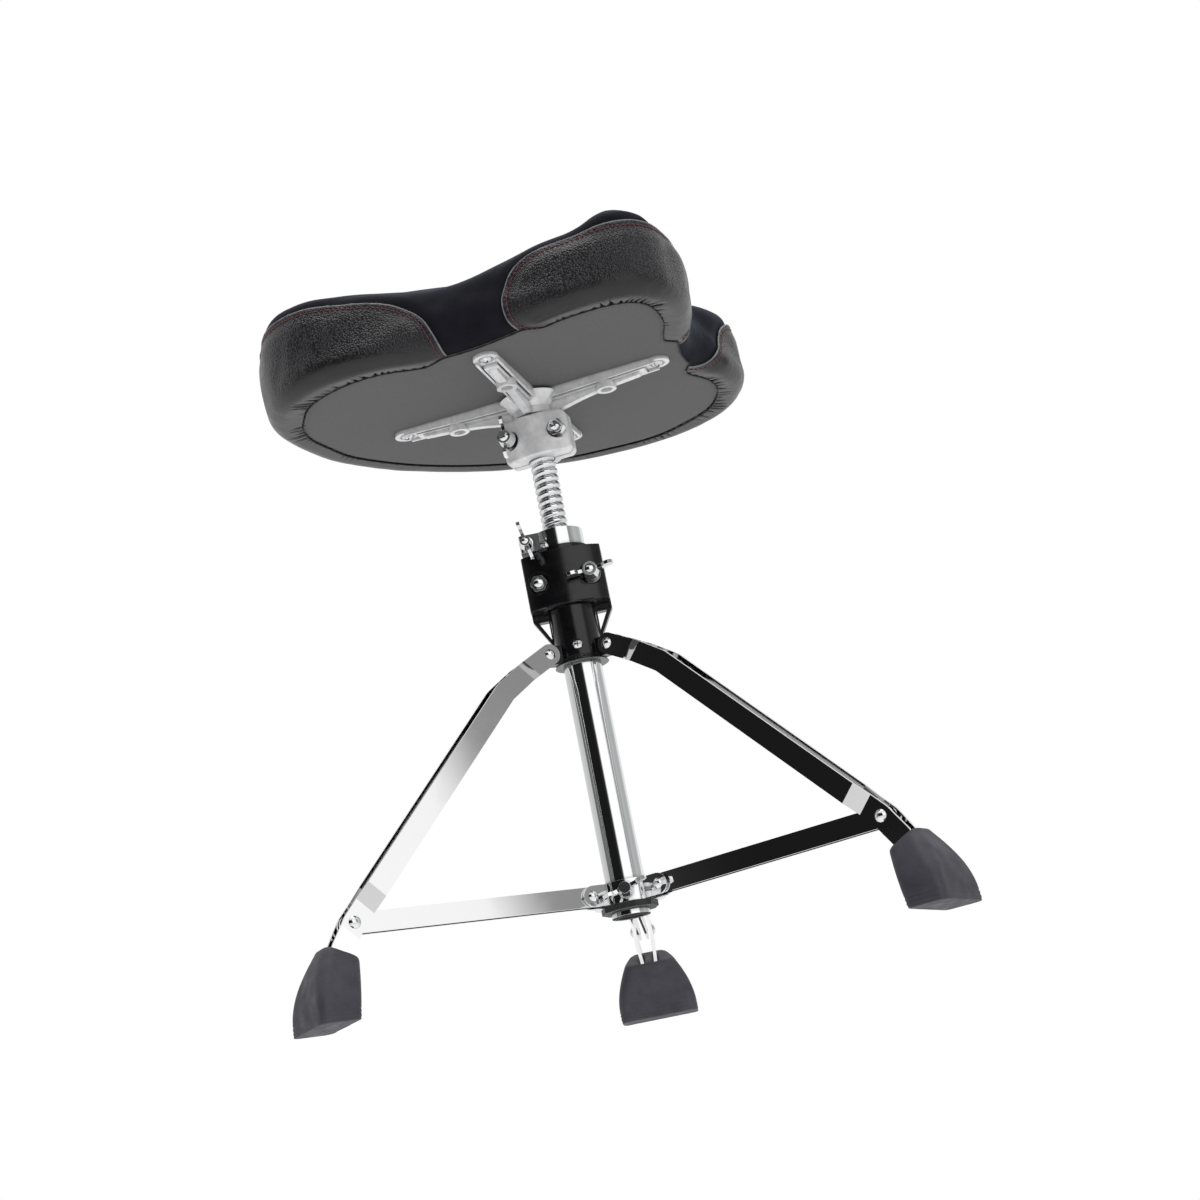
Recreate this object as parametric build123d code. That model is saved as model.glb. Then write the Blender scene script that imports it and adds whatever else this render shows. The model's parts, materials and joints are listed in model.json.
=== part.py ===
from build123d import *
import math
import os

# Drum throne: folding tripod base, screw-lifted post, cast seat bracket and a saddle-shaped seat.
# Millimetres, +Z up. Origin: on the floor, under the post axis. The seat's nose points to -Y.
# Azimuths are degrees about +Z from +X.

os.makedirs("parts", exist_ok=True)

# ---------------------------------------------------------------- driving dimensions
LEG_AZ = (58.0, 178.0, 298.0)
LEG_NAME = ("rear", "left", "right")
SCREW_AZ = tuple((az + 180.0) % 360.0 for az in LEG_AZ)    # collar wing screws, opposite the legs
SCREW_NAME = ("front", "right", "left")
SCREW_ROLL = (16.0, -12.0, 14.0)   # how far each collar wing is turned from level
FRONT_AZ = SCREW_AZ[0]             # direction the casting's clamp bolts face
BASE_TURN = FRONT_AZ - 270.0       # casting parts are drawn facing -Y, then turned by this

TUBE_R, TUBE_BORE_R = 15.875, 13.9
TUBE_Z0, TUBE_Z1 = 57.0, 340.0
ROD_R, ROD_ROOT_R, PITCH = 11.1, 9.85, 6.35
ROD_Z0, ROD_Z1 = 150.0, 487.0
RUN = 0.05                         # radial running clearance
FIT = 0.02                         # radial clearance of fixed parts
WING_GAP = 0.1                     # between a wing nut or screw and the face under it

LEG_PIVOT_R, LEG_PIVOT_Z = 31.7, 278.2        # top of leg to casting
STUD_X, STUD_Z = 239.1, 76.2                  # leg to brace
COLLAR_PIVOT_R, COLLAR_PIVOT_Z = 34.2, 75.6   # brace to collar
RIVET_R = 2.95
STRIP_W, STRIP_T = 17.5, 3.0       # leg strip section
BRACE_W, BRACE_T = 16.0, 2.0       # brace strip section
BRACE_HALF = 4.4                   # outer half width of a brace pair

BOLT_R, BOLT_HOLE_R = 4.0, 4.1     # both clamps
BOLT_HEAD_R, HEAD_POCKET_R = 8.0, 8.4
NUT_FLATS, NUT_BORE_R = 13.0, 4.02
WASHER_T = 1.6

ARM_AZ = (45.0, 135.0, 225.0, 315.0)
JAW_AZ = ARM_AZ[2]                 # the clamp jaw sits under this arm
ARM_TIP, ARM_BOSS = 114.7, 67.3    # radii of the board screw and the boss
ARM_TOP = 511.0

BOARD_Z0 = ARM_TOP + 1.0           # cloth between arms and board
BOARD_Z1 = BOARD_Z0 + 12.0
SEAT_TOP = 602.0
COVER_OUT = 13.0                   # cover stands out from the board edge
SKIN = 2.0
# x, y of half the seat board's outline, nose to rear
BOARD_HALF = [
    (0, -196), (20, -190), (41, -172), (56, -153), (66, -134), (75, -119), (88, -99), (113, -73),
    (132, -61), (150, -54), (170, -41), (185, -23), (195, -2), (200, 20), (199, 35), (194, 55),
    (185, 80), (165, 105), (143, 122), (122, 137), (87, 151), (50, 160), (0, 164)]

ON_BASE = (Align.CENTER, Align.CENTER, Align.MIN)


# ---------------------------------------------------------------- helpers
def save(shape, name):
    shape.label = name
    export_step(shape, os.path.join("parts", name + ".step"))


def solids_of(*shapes):
    return Compound([solid for shape in shapes for solid in shape.solids()])


def turned(az, shape):
    return Rot(0, 0, az) * shape


def facing_x(sign, x, y, z):
    return Plane(origin=(x, y, z), x_dir=(0, 1, 0), z_dir=(sign, 0, 0))


def facing_y(sign, x, y, z):
    return Plane(origin=(x, y, z), x_dir=(1, 0, 0), z_dir=(0, sign, 0))


def radial_plane(az, radius, side, z, roll=0.0):
    """Plane facing out at az, shifted sideways, with x along the tangent turned by roll."""
    angle, tilt = math.radians(az), math.radians(roll)
    outward = Vector(math.cos(angle), math.sin(angle), 0)
    tangent = Vector(-math.sin(angle), math.cos(angle), 0)
    x_dir = tangent * math.cos(tilt) + Vector(0, 0, 1) * math.sin(tilt)
    origin = outward * radius + tangent * side + Vector(0, 0, z)
    return Plane(origin=origin, x_dir=x_dir, z_dir=outward)


def cyl_z(radius, z0, z1, x=0.0, y=0.0):
    return Pos(x, y, z0) * Cylinder(radius, z1 - z0, align=ON_BASE)


def cyl_x(radius, x0, x1, y=0.0, z=0.0):
    return facing_x(1, x0, y, z) * Cylinder(radius, x1 - x0, align=ON_BASE)


def cyl_y(radius, y0, y1, x=0.0, z=0.0):
    return facing_y(1, x, y0, z) * Cylinder(radius, y1 - y0, align=ON_BASE)


def box(x0, x1, y0, y1, z0, z1):
    return Pos((x0 + x1) / 2, (y0 + y1) / 2, (z0 + z1) / 2) * Box(x1 - x0, y1 - y0, z1 - z0)


def prism_xz(points, y0, y1):
    """Prism of an x, z outline between two y values."""
    face = make_face(Polyline(*[(x, y0, z) for x, z in points], close=True))
    return extrude(face, amount=y1 - y0, dir=(0, 1, 0))


def dome(radius, height):
    """Low rounded head on the plane z = 0."""
    ball_r = (radius * radius + height * height) / (2 * height)
    return Pos(0, 0, height - ball_r) * Sphere(ball_r) & cyl_z(radius + 1, 0, height + 1)


def hex_nut(across_flats, thick, bore_r):
    nut = extrude(RegularPolygon(across_flats / 2, 6, major_radius=False), amount=thick)
    nut = nut & (Pos(0, 0, thick / 2) * Cylinder(across_flats / 2 * 1.11, thick))
    return nut - Cylinder(bore_r, thick * 3)


def washer(radius):
    return Cylinder(radius, WASHER_T, align=ON_BASE) - Cylinder(4.2, 9)


def carriage_bolt(length):
    """Bolt along +Z from z = 0, with a low round head below and a domed tip."""
    tip_h = 1.2
    bolt = Cylinder(BOLT_R, length - tip_h, align=ON_BASE)
    bolt += Rot(180, 0, 0) * dome(BOLT_HEAD_R, 4.2)
    bolt += Pos(0, 0, length - tip_h) * dome(BOLT_R, tip_h)
    return bolt


def wing_nut(bore_r, span, hub_r=6.6, hub_h=10.0, blade_t=3.0, lift=0.0):
    """Wing nut on z = 0, wings along +X and -X, raised by lift on a plain neck; solid if bore_r is 0."""
    hub = Cone(hub_r + 0.8, hub_r - 0.8, hub_h, align=ON_BASE)
    outline = [(3, 0.8), (8.5, 1.2), (11.5, 3.0), (span - 5, 4.2), (span - 1.6, 5.6), (span, 8.4),
               (span - 1.2, 11.6), (span - 4.5, 13.4), (span - 8, 12.2), (10.0, 8.6), (6.5, 8.0),
               (3, 8.0)]
    blade = prism_xz(outline, -blade_t / 2, blade_t / 2)
    nut = hub + blade + mirror(blade, about=Plane.YZ)
    if lift > 0:
        nut = Pos(0, 0, lift) * nut + cyl_z(hub_r, 0, lift + 1.0)
    if bore_r > 0:
        nut = nut - Cylinder(bore_r, 60)
    return nut


def rivet_set(x, z, half, head_r):
    """One rivet across each leg direction, with a domed head at either end."""
    rivet = cyl_y(RIVET_R, -half, half, x=x, z=z)
    for side in (-1, 1):
        rivet += facing_y(side, x, side * half, z) * dome(head_r, 2.4)
    return solids_of(*[turned(az, rivet) for az in LEG_AZ])


def outline_slab(out, z0, z1):
    """Slab of the seat board's outline, each point moved outward by out."""
    points = BOARD_HALF + [(-x, y) for x, y in BOARD_HALF[-2:0:-1]]
    count = len(points)
    moved = []
    for i, (x, y) in enumerate(points):
        x_before, y_before = points[(i - 1) % count]
        x_after, y_after = points[(i + 1) % count]
        dx, dy = x_after - x_before, y_after - y_before
        chord = math.hypot(dx, dy)
        moved.append((x + dy / chord * out, y - dx / chord * out, z0))
    return extrude(make_face(Spline(*moved, periodic=True)), amount=z1 - z0, dir=(0, 0, 1))


# ---------------------------------------------------------------- tube and casting
CAST_Z0, CAST_SPLIT, CAST_Z1 = 269.5, 318.0, 369.5
CAST_R, CAST_HALF = 24.0, 33.5     # clamp barrel radius and half width
CAST_BOLT_Z, CAST_BOLT_X = 340.5, 22.0
CAST_HEAD_Y, CAST_NUT_Y, CAST_WASHER_Y = 12.0, -13.0, -15.0   # where each one seats
CAST_FACE_R = 56.5                 # radius of the shallow convex front face
RETAINER_Z, RETAINER_Y = 283.0, -19.0    # tube retaining screw and the seat of its head

tube = cyl_z(TUBE_R, TUBE_Z0, TUBE_Z1) - cyl_z(TUBE_BORE_R, TUBE_Z0 - 1, TUBE_Z1 + 1)
tube = tube - cyl_y(2.1, -25, 0, z=RETAINER_Z)
save(turned(BASE_TURN, tube), "center_tube")

plug = cyl_z(TUBE_BORE_R - FIT, TUBE_Z0 + 2.0, TUBE_Z0 + 14.0)
plug = plug - Pos(0, 0, TUBE_Z0 + 1.9) * Cone(11.0, 8.0, 7.0, align=ON_BASE)
save(plug, "tube_end_plug")

# Main casting: lower sleeve, rear half of the clamp, two gussets and the leg lugs
tube_bore = cyl_z(TUBE_R + FIT, CAST_Z0 - 5, CAST_Z1 + 5)
lower = cyl_z(19.5, CAST_Z0, CAST_SPLIT - 0.4)
lower += Pos(0, 0, CAST_Z0) * Cone(22.6, 19.4, 5.0, align=ON_BASE)
rear = cyl_z(CAST_R, CAST_SPLIT - 2.0, CAST_Z1)
rear += box(-CAST_HALF, CAST_HALF, -12, CAST_HEAD_Y, CAST_SPLIT - 2.0, CAST_Z1 - 3.5)
rear = rear & box(-60, 60, 0.6, 60, 200, 400)
gusset = prism_xz([(-CAST_HALF, CAST_SPLIT - 1), (-CAST_HALF, CAST_SPLIT - 4), (-18.5, 287),
                   (-10, 287), (-10, CAST_SPLIT - 1)], 1.2, 9.0)
gusset = gusset - prism_xz([(-29.0, CAST_SPLIT - 5.5), (-20.6, 296.5),
                            (-20.6, CAST_SPLIT - 5.5)], 0, 12)
casting = lower + rear + gusset + mirror(gusset, about=Plane.YZ)
LUG_R, LUG_HALF = 8.0, 4.9
lug = box(12, LEG_PIVOT_R, -LUG_HALF, LUG_HALF, LEG_PIVOT_Z - LUG_R, LEG_PIVOT_Z + LUG_R)
lug += cyl_y(LUG_R, -LUG_HALF, LUG_HALF, x=LEG_PIVOT_R, z=LEG_PIVOT_Z)
for az in LEG_AZ:
    casting += turned(az - BASE_TURN, lug)
casting -= tube_bore
for az in LEG_AZ:
    casting -= turned(az - BASE_TURN, cyl_y(3.0, -10, 10, x=LEG_PIVOT_R, z=LEG_PIVOT_Z))
casting -= cyl_y(2.1, -40, -10, z=RETAINER_Z)
casting -= cyl_y(4.5, -40, RETAINER_Y, z=RETAINER_Z)
for side in (-1, 1):
    casting -= cyl_y(BOLT_HOLE_R, -5, 40, x=side * CAST_BOLT_X, z=CAST_BOLT_Z)
    casting -= cyl_y(HEAD_POCKET_R, CAST_HEAD_Y, 40, x=side * CAST_BOLT_X, z=CAST_BOLT_Z)
save(turned(BASE_TURN, casting), "main_casting")

# Front half of the clamp, with pockets for the washer and the nut
pillow = cyl_z(CAST_FACE_R, CAST_SPLIT + 1.0, CAST_Z1 - 3.5, y=CAST_FACE_R - CAST_R)
pillow = pillow & box(-CAST_HALF, CAST_HALF, -60, 0, CAST_SPLIT, CAST_Z1)
shell = cyl_z(CAST_R, CAST_SPLIT, CAST_Z1) + pillow
shell = shell & box(-60, 60, -60, -0.6, 200, 400)
shell -= cyl_y(9.4, -40.0, CAST_WASHER_Y, x=CAST_BOLT_X, z=CAST_BOLT_Z)
shell -= cyl_y(9.6, -40.0, CAST_NUT_Y, x=-CAST_BOLT_X - 0.6, z=CAST_BOLT_Z)
shell -= tube_bore
for side in (-1, 1):
    shell -= cyl_y(BOLT_HOLE_R, -40, 5, x=side * CAST_BOLT_X, z=CAST_BOLT_Z)
corners = [e for e in shell.edges().filter_by(Axis.Z)
           if abs(abs(e.center().X) - CAST_HALF) < 0.1 and abs(e.center().Y + 13) < 0.3]
save(turned(BASE_TURN, fillet(corners, 3.0)), "casting_front_clamp")

# Split sleeve the rod runs in, above the tube
insert = cyl_z(TUBE_R, TUBE_Z1 + 0.1, CAST_Z1 - 1.5)
insert -= cyl_z(ROD_R + RUN, TUBE_Z1 - 1, CAST_Z1 + 1)
insert -= box(-0.8, 0.8, 0, 20, TUBE_Z1 - 1, CAST_Z1 + 1)
save(turned(BASE_TURN, insert), "rod_nut_insert")

# Retaining screw with a cross recess
retainer = cyl_y(2.0, RETAINER_Y, -12.5, z=RETAINER_Z)
retainer += facing_y(-1, 0, RETAINER_Y, RETAINER_Z) * dome(4.2, 2.6)
cross = box(-2.4, 2.4, -22, -20.4, RETAINER_Z - 0.4, RETAINER_Z + 0.4)
cross += box(-0.4, 0.4, -22, -20.4, RETAINER_Z - 2.4, RETAINER_Z + 2.4)
save(turned(BASE_TURN, retainer - cross), "tube_retaining_screw")

# Clamp bolts; the one at +X is longer, for the wing nut
cast_bolts = [facing_y(-1, x, CAST_HEAD_Y, CAST_BOLT_Z) * carriage_bolt(CAST_HEAD_Y - y_end)
              for x, y_end in ((-CAST_BOLT_X, -24.5), (CAST_BOLT_X, -34.5))]
save(turned(BASE_TURN, solids_of(*cast_bolts)), "casting_clamp_bolts")
cast_nut = facing_y(-1, -CAST_BOLT_X, CAST_NUT_Y, CAST_BOLT_Z) * hex_nut(NUT_FLATS, 6.8, NUT_BORE_R)
save(turned(BASE_TURN, cast_nut), "casting_clamp_nut")
cast_washer = facing_y(-1, CAST_BOLT_X, CAST_WASHER_Y, CAST_BOLT_Z) * washer(8.0)
save(turned(BASE_TURN, cast_washer), "casting_clamp_washer")
wing_seat = radial_plane(FRONT_AZ, WASHER_T - CAST_WASHER_Y + 0.15, CAST_BOLT_X, CAST_BOLT_Z, roll=6.0)
save(wing_seat * wing_nut(BOLT_R + RUN, 20.5, lift=7.6), "casting_wing_nut")

save(rivet_set(LEG_PIVOT_R, LEG_PIVOT_Z, 8.1, 4.6), "leg_pivot_rivets")

# ---------------------------------------------------------------- legs (drawn along +X)
LEG_LEN = math.hypot(STUD_X - LEG_PIVOT_R, STUD_Z - LEG_PIVOT_Z)    # pivot to brace stud
ALONG_X, ALONG_Z = (STUD_X - LEG_PIVOT_R) / LEG_LEN, (STUD_Z - LEG_PIVOT_Z) / LEG_LEN
NORMAL_X, NORMAL_Z = -ALONG_Z, ALONG_X                              # outward and up
LEG_PLANE = Plane(origin=(LEG_PIVOT_R, 0, LEG_PIVOT_Z), x_dir=(ALONG_X, 0, ALONG_Z),
                  z_dir=(NORMAL_X, 0, NORMAL_Z))
# distance along the leg from its pivot, outer half width of the strip pair
LEG_WIDTHS = [(-12, 8.0), (21, 8.0), (30, 12.0), (258, 12.0), (274, 9.0), (298, 9.0), (315, 7.4),
              (360, 7.4)]
# x, z, half width, corner radius are lofted: z, x0, x1, half width, corner radius
FOOT_SECTIONS = [
    (0.0, 254.0, 287.5, 35.0, 6.0),
    (14.0, 252.5, 285.6, 33.0, 7.0),
    (32.0, 248.5, 281.0, 28.3, 8.5),
    (48.0, 243.6, 274.0, 22.2, 9.5),
    (63.0, 238.0, 266.0, 14.5, 9.5)]
FOOT_SECTIONS_NOTE = None


def leg_point(along, out):
    """x, z of a point given along the pivot-to-stud line and square to it."""
    return (LEG_PIVOT_R + along * ALONG_X + out * NORMAL_X,
            LEG_PIVOT_Z + along * ALONG_Z + out * NORMAL_Z)


def bent_bar(points, width, half):
    """Flat bar of the given width following x, z points, as a slab half to either side of y = 0."""
    edge_off = width / 2
    segments = []
    for edge in FilletPolyline(*[(x, 0, z) for x, z in points], radius=16.0).edges():
        upper, lower = [], []
        for t in (0, 0.5, 1):
            tangent = edge.tangent_at(t)
            shift = Vector(-tangent.Z, 0, tangent.X) * edge_off
            upper.append(edge.position_at(t) + shift)
            lower.append(edge.position_at(t) - shift)
        if edge.geom_type == GeomType.LINE:
            face = make_face(Polyline(upper[0], upper[2], lower[2], lower[0], close=True))
        else:
            face = make_face([
                ThreePointArc(*upper),
                Line(upper[2], lower[2]),
                ThreePointArc(*lower[::-1]),
                Line(lower[0], upper[0])])
        segments.append(extrude(face, amount=half, dir=(0, 1, 0))
                        + extrude(face, amount=half, dir=(0, -1, 0)))
    bar = segments[0]
    for segment in segments[1:]:
        bar = bar + segment
    return bar


def leg_strip(side):
    """The leg's side profile cut by its plan profile, on one side of y = 0."""
    outer = [(along, side * half) for along, half in LEG_WIDTHS]
    inner = [(along, side * (half - STRIP_T)) for along, half in LEG_WIDTHS]
    face = LEG_PLANE * make_face(Polyline(*(outer + inner[::-1]), close=True))
    plan = extrude(face, amount=60, dir=(NORMAL_X, 0, NORMAL_Z))
    plan = plan + extrude(face, amount=60, dir=(-NORMAL_X, 0, -NORMAL_Z))
    strip = leg_slab & plan
    strip -= cyl_y(RIVET_R + RUN, -30, 30, x=LEG_PIVOT_R, z=LEG_PIVOT_Z)
    strip -= cyl_y(RIVET_R, -30, 30, x=STUD_X, z=STUD_Z)
    return strip


def foot_body():
    foot = loft([
        Plane(origin=((x0 + x1) / 2, 0, z), x_dir=(1, 0, 0), z_dir=(0, 0, 1))
        * RectangleRounded(x1 - x0, half * 2, corner)
        for z, x0, x1, half, corner in FOOT_SECTIONS])
    # sloping top
    foot = foot - prism_xz([(200, 37.0), (243.0, 46.5), (264.5, 60.0), (300, 66.0), (300, 120),
                            (200, 120)], -80, 80)
    # central groove down the outer face
    foot = foot - prism_xz([(267.3, 62), (278.5, 40), (284.5, 20), (286.3, 8), (300, 8), (300, 70),
                            (266.0, 70)], -1.3, 1.3)
    # grooves across the sole
    for i in range(5):
        x = 258.5 + i * 6.2
        foot = foot - box(x, x + 2.2, -31, 31, -1, 1.4)
    return foot


def brace_stud(side):
    y_in, y_out = side * 6.0, side * 9.0
    stud = cyl_y(RIVET_R, min(y_in, y_out), max(y_in, y_out), x=STUD_X, z=STUD_Z)
    return stud + facing_y(side, STUD_X, y_out, STUD_Z) * dome(5.0, 2.6)


leg_spine = [leg_point(0, 0), leg_point(30, 7.6), leg_point(56, 11.8), leg_point(LEG_LEN, 0.0),
             (251.3, 57.0), (262.5, 24.0)]
leg_slab = bent_bar(leg_spine, STRIP_W, 20.0)
leg_slab = leg_slab + cyl_y(STRIP_W / 2, -20, 20, x=LEG_PIVOT_R, z=LEG_PIVOT_Z)
strips = [leg_strip(side) for side in (-1, 1)]
studs = [brace_stud(side) for side in (-1, 1)]
foot = foot_body()
for strip in strips:
    foot = foot - strip

for az, name in zip(LEG_AZ, LEG_NAME):
    for strip, letter in zip(strips, "ab"):
        save(turned(az, strip), f"leg_{name}_strip_{letter}")
    save(solids_of(*[turned(az, stud) for stud in studs]), f"leg_{name}_brace_studs")
    save(turned(az, foot), f"rubber_foot_{name}")


# ---------------------------------------------------------------- braces
def brace_strip(side):
    y0, y1 = sorted((side * BRACE_HALF, side * (BRACE_HALF - BRACE_T)))
    dx, dz = STUD_X - COLLAR_PIVOT_R, STUD_Z - COLLAR_PIVOT_Z
    length = math.hypot(dx, dz)
    half = BRACE_W / 2
    off_x, off_z = -dz / length * half, dx / length * half
    ends = ((COLLAR_PIVOT_R, COLLAR_PIVOT_Z), (STUD_X, STUD_Z))
    brace = prism_xz([(x + off_x, z + off_z) for x, z in ends]
                     + [(x - off_x, z - off_z) for x, z in ends[::-1]], y0, y1)
    brace += cyl_y(half, y0, y1, x=COLLAR_PIVOT_R, z=COLLAR_PIVOT_Z) + cyl_y(
        half, y0, y1, x=STUD_X, z=STUD_Z)
    brace -= cyl_y(RIVET_R + RUN, -20, 20, x=COLLAR_PIVOT_R, z=COLLAR_PIVOT_Z)
    brace -= cyl_y(3.3, -20, 20, x=STUD_X, z=STUD_Z)
    return brace


for side, letter in ((-1, "a"), (1, "b")):
    brace = brace_strip(side)
    for az, name in zip(LEG_AZ, LEG_NAME):
        save(turned(az, brace), f"brace_{name}_strip_{letter}")

# ---------------------------------------------------------------- lower collar
COLLAR_Z0, COLLAR_Z1 = COLLAR_PIVOT_Z - 9.0, COLLAR_PIVOT_Z + 9.0
EAR_Y0, EAR_Y1 = 4.5, 7.2
BOSS_END = 28.0                    # radius of the screw boss faces
COLLAR_SCREW_R = 3.0

collar = cyl_z(22.0, COLLAR_Z0, COLLAR_Z1)
ear = box(15, COLLAR_PIVOT_R, EAR_Y0, EAR_Y1, COLLAR_Z0 + 0.4, COLLAR_Z1 - 0.4)
ear += cyl_y(8.4, EAR_Y0, EAR_Y1, x=COLLAR_PIVOT_R, z=COLLAR_PIVOT_Z)
ears = ear + mirror(ear, about=Plane.XZ)
for az in LEG_AZ:
    collar += turned(az, ears)
for az in SCREW_AZ:
    collar += turned(az, cyl_x(6.4, 15, BOSS_END, z=COLLAR_PIVOT_Z))
collar -= cyl_z(18.5, 0, 200)
for az in LEG_AZ:
    collar -= turned(az, cyl_y(RIVET_R, -20, 20, x=COLLAR_PIVOT_R, z=COLLAR_PIVOT_Z))
for az in SCREW_AZ:
    collar -= turned(az, cyl_x(COLLAR_SCREW_R + RUN, 10, 40, z=COLLAR_PIVOT_Z))
save(collar, "lower_collar")

# Bush with a ten-sided flange under the collar
bush = cyl_z(18.45, 66.5, 84.0)
bush += Pos(0, 0, 61.6) * extrude(RegularPolygon(23.4, 10), amount=4.9)
bush -= cyl_z(TUBE_R + RUN, 0, 200)
save(bush, "collar_bush")

save(rivet_set(COLLAR_PIVOT_R, COLLAR_PIVOT_Z, EAR_Y1, 4.4), "brace_pivot_rivets")

for az, name, roll in zip(SCREW_AZ, SCREW_NAME, SCREW_ROLL):
    screw = wing_nut(0, 19.0, hub_r=5.6, hub_h=9.0)
    screw += Pos(0, 0, -9.4) * Cylinder(COLLAR_SCREW_R, 10.5, align=ON_BASE)
    seat = radial_plane(az, BOSS_END + WING_GAP, 0, COLLAR_PIVOT_Z, roll=roll)
    save(seat * screw, f"collar_wing_screw_{name}")

# ---------------------------------------------------------------- threaded rod and height lock
# The thread is a stack of separate ridges, one per pitch
profile = [(0, 0, ROD_Z0), (ROD_ROOT_R, 0, ROD_Z0)]
for i in range(int((ROD_Z1 - ROD_Z0 - 8.0) / PITCH)):
    z = ROD_Z0 + 2.0 + i * PITCH
    profile += [(ROD_ROOT_R, 0, z), (ROD_R, 0, z + 1.5), (ROD_R, 0, z + 3.2),
                (ROD_ROOT_R, 0, z + 4.7)]
profile += [(ROD_ROOT_R, 0, ROD_Z1), (0, 0, ROD_Z1)]
save(revolve(make_face(Polyline(*profile, close=True)), axis=Axis.Z), "threaded_rod")

guide = cyl_z(TUBE_BORE_R - RUN, ROD_Z0 - 9.0, ROD_Z0) - cyl_z(4.0, ROD_Z0 - 10, ROD_Z0 - 4)
save(guide, "rod_end_guide")

LOCK_Z0, LOCK_Z1 = CAST_Z1 + 0.4, 385.0
LOCK_X, LOCK_Z = -26.0, 375.5      # lock bolt axis, to the side of the rod
LUG_X, LUG_Y0, LUG_Y1 = -32.0, -16.0, 6.0
LOCK_BOLT_R, LOCK_SHANK_END = 3.0, -33.6

ring = cyl_z(21.5, LOCK_Z0, LOCK_Z1) + box(LUG_X, -12.0, LUG_Y0, LUG_Y1, LOCK_Z0, LOCK_Z1)
ring = fillet([e for e in ring.edges().filter_by(Axis.Z) if abs(e.center().X - LUG_X) < 0.1], 2.5)
ring -= cyl_z(ROD_R + RUN, 300, 420)
ring -= box(-40, -5, -0.9, 0.9, 300, 420)
ring -= cyl_y(3.1, -30, 30, x=LOCK_X, z=LOCK_Z)
save(turned(BASE_TURN, ring), "height_lock_ring")

lock_bolt = cyl_y(LOCK_BOLT_R, LOCK_SHANK_END, LUG_Y1, x=LOCK_X, z=LOCK_Z)
lock_bolt += facing_y(-1, LOCK_X, LOCK_SHANK_END, LOCK_Z) * dome(LOCK_BOLT_R, 1.0)
hex_head = extrude(RegularPolygon(4.6, 6, major_radius=False), amount=3.6)
lock_bolt += facing_y(1, LOCK_X, LUG_Y1, LOCK_Z) * hex_head
save(turned(BASE_TURN, lock_bolt), "height_lock_bolt")

lock_wing = wing_nut(LOCK_BOLT_R + RUN, 17.6, hub_r=5.2, hub_h=9.0, blade_t=2.8, lift=7.6)
wing_seat = radial_plane(FRONT_AZ, WING_GAP - LUG_Y0, LOCK_X, LOCK_Z, roll=102.0)
save(wing_seat * lock_wing, "height_lock_wing_nut")

# ---------------------------------------------------------------- seat bracket
# The clamp is drawn with its jaw at +X, then turned to JAW_AZ
CLAMP_Z0, CLAMP_Z1 = 452.0, 490.0
CLAMP_BACK, CLAMP_HALF = -9.0, 29.0     # x of the bolt head seats, half width
CLAMP_BOLT_Z, CLAMP_BOLT_Y = 472.0, 21.5
HUB_R, HUB_Z0 = 17.0, 487.4
ARM_HALF, ARM_T = 10.0, 3.5
JAW_FACE_R = 51.2                  # radius of the jaw's shallow convex face
JAW_SEAT_X = 11.0                  # floor of the jaw's nut pockets


def round_clamp_corners(part):
    return fillet([e for e in part.edges().filter_by(Axis.X)
                   if abs(abs(e.center().Y) - CLAMP_HALF) < 0.1], 5.0)


# One arm: plate, side ribs, middle rail, deep web and boss
under = ARM_TOP - 3
arm = box(0, ARM_TIP, -ARM_HALF, ARM_HALF, ARM_TOP - ARM_T, ARM_TOP)
arm += cyl_z(10.6, ARM_TOP - ARM_T, ARM_TOP, x=ARM_TIP)
rib = prism_xz([(12, under), (12, ARM_TOP - 9.0), (60, ARM_TOP - 7.6), (114, ARM_TOP - 5.6),
                (114, under)], 7.9, ARM_HALF)
arm += rib + mirror(rib, about=Plane.XZ)
arm += prism_xz([(0, under), (0, 500.0), (30, 501.0), (66, 502.4), (104, 504.4), (104, under)],
                -6.2, 6.2)
arm += prism_xz([(0, under), (0, 489.0), (15, 489.0), (26, 492.0), (45, 496.0), (66, 499.0),
                 (98, 501.6), (101, under)], -3.3, 3.3)
arm += cyl_z(8.6, 497.5, ARM_TOP, x=ARM_BOSS)
bracket = cyl_z(HUB_R, HUB_Z0, ARM_TOP)
bracket += Pos(0, 0, 497.0) * Cone(HUB_R, 27.0, 11.0, align=ON_BASE)
for az in ARM_AZ:
    bracket += turned(az, arm)

# Fixed half of the rod clamp
half_clamp = cyl_z(HUB_R, CLAMP_Z0, CLAMP_Z1)
half_clamp += box(CLAMP_BACK, 9.0, -CLAMP_HALF, CLAMP_HALF, CLAMP_Z0, CLAMP_Z1)
half_clamp = half_clamp & box(-60, -0.6, -60, 60, 400, 600)
half_clamp = round_clamp_corners(half_clamp)
for side in (-1, 1):
    half_clamp -= cyl_x(HEAD_POCKET_R, -40, CLAMP_BACK, y=side * CLAMP_BOLT_Y, z=CLAMP_BOLT_Z)
bracket += turned(JAW_AZ, half_clamp)
bracket -= cyl_z(ROD_R + RUN, 440, HUB_Z0)
bracket -= turned(JAW_AZ, box(-0.6, 60, -60, 60, 440, CLAMP_Z1 + 0.6))
for az in ARM_AZ:
    bracket -= turned(az, cyl_z(5.0, 490, 507.0, x=ARM_BOSS))
    bracket -= turned(az, cyl_z(2.9, 490, 520, x=ARM_TIP))
    bracket -= turned(az, cyl_z(6.6, 490, under, x=ARM_TIP))
for side in (-1, 1):
    bracket -= turned(JAW_AZ, cyl_x(BOLT_HOLE_R, -60, 5, y=side * CLAMP_BOLT_Y, z=CLAMP_BOLT_Z))
save(bracket, "seat_bracket")

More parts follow.
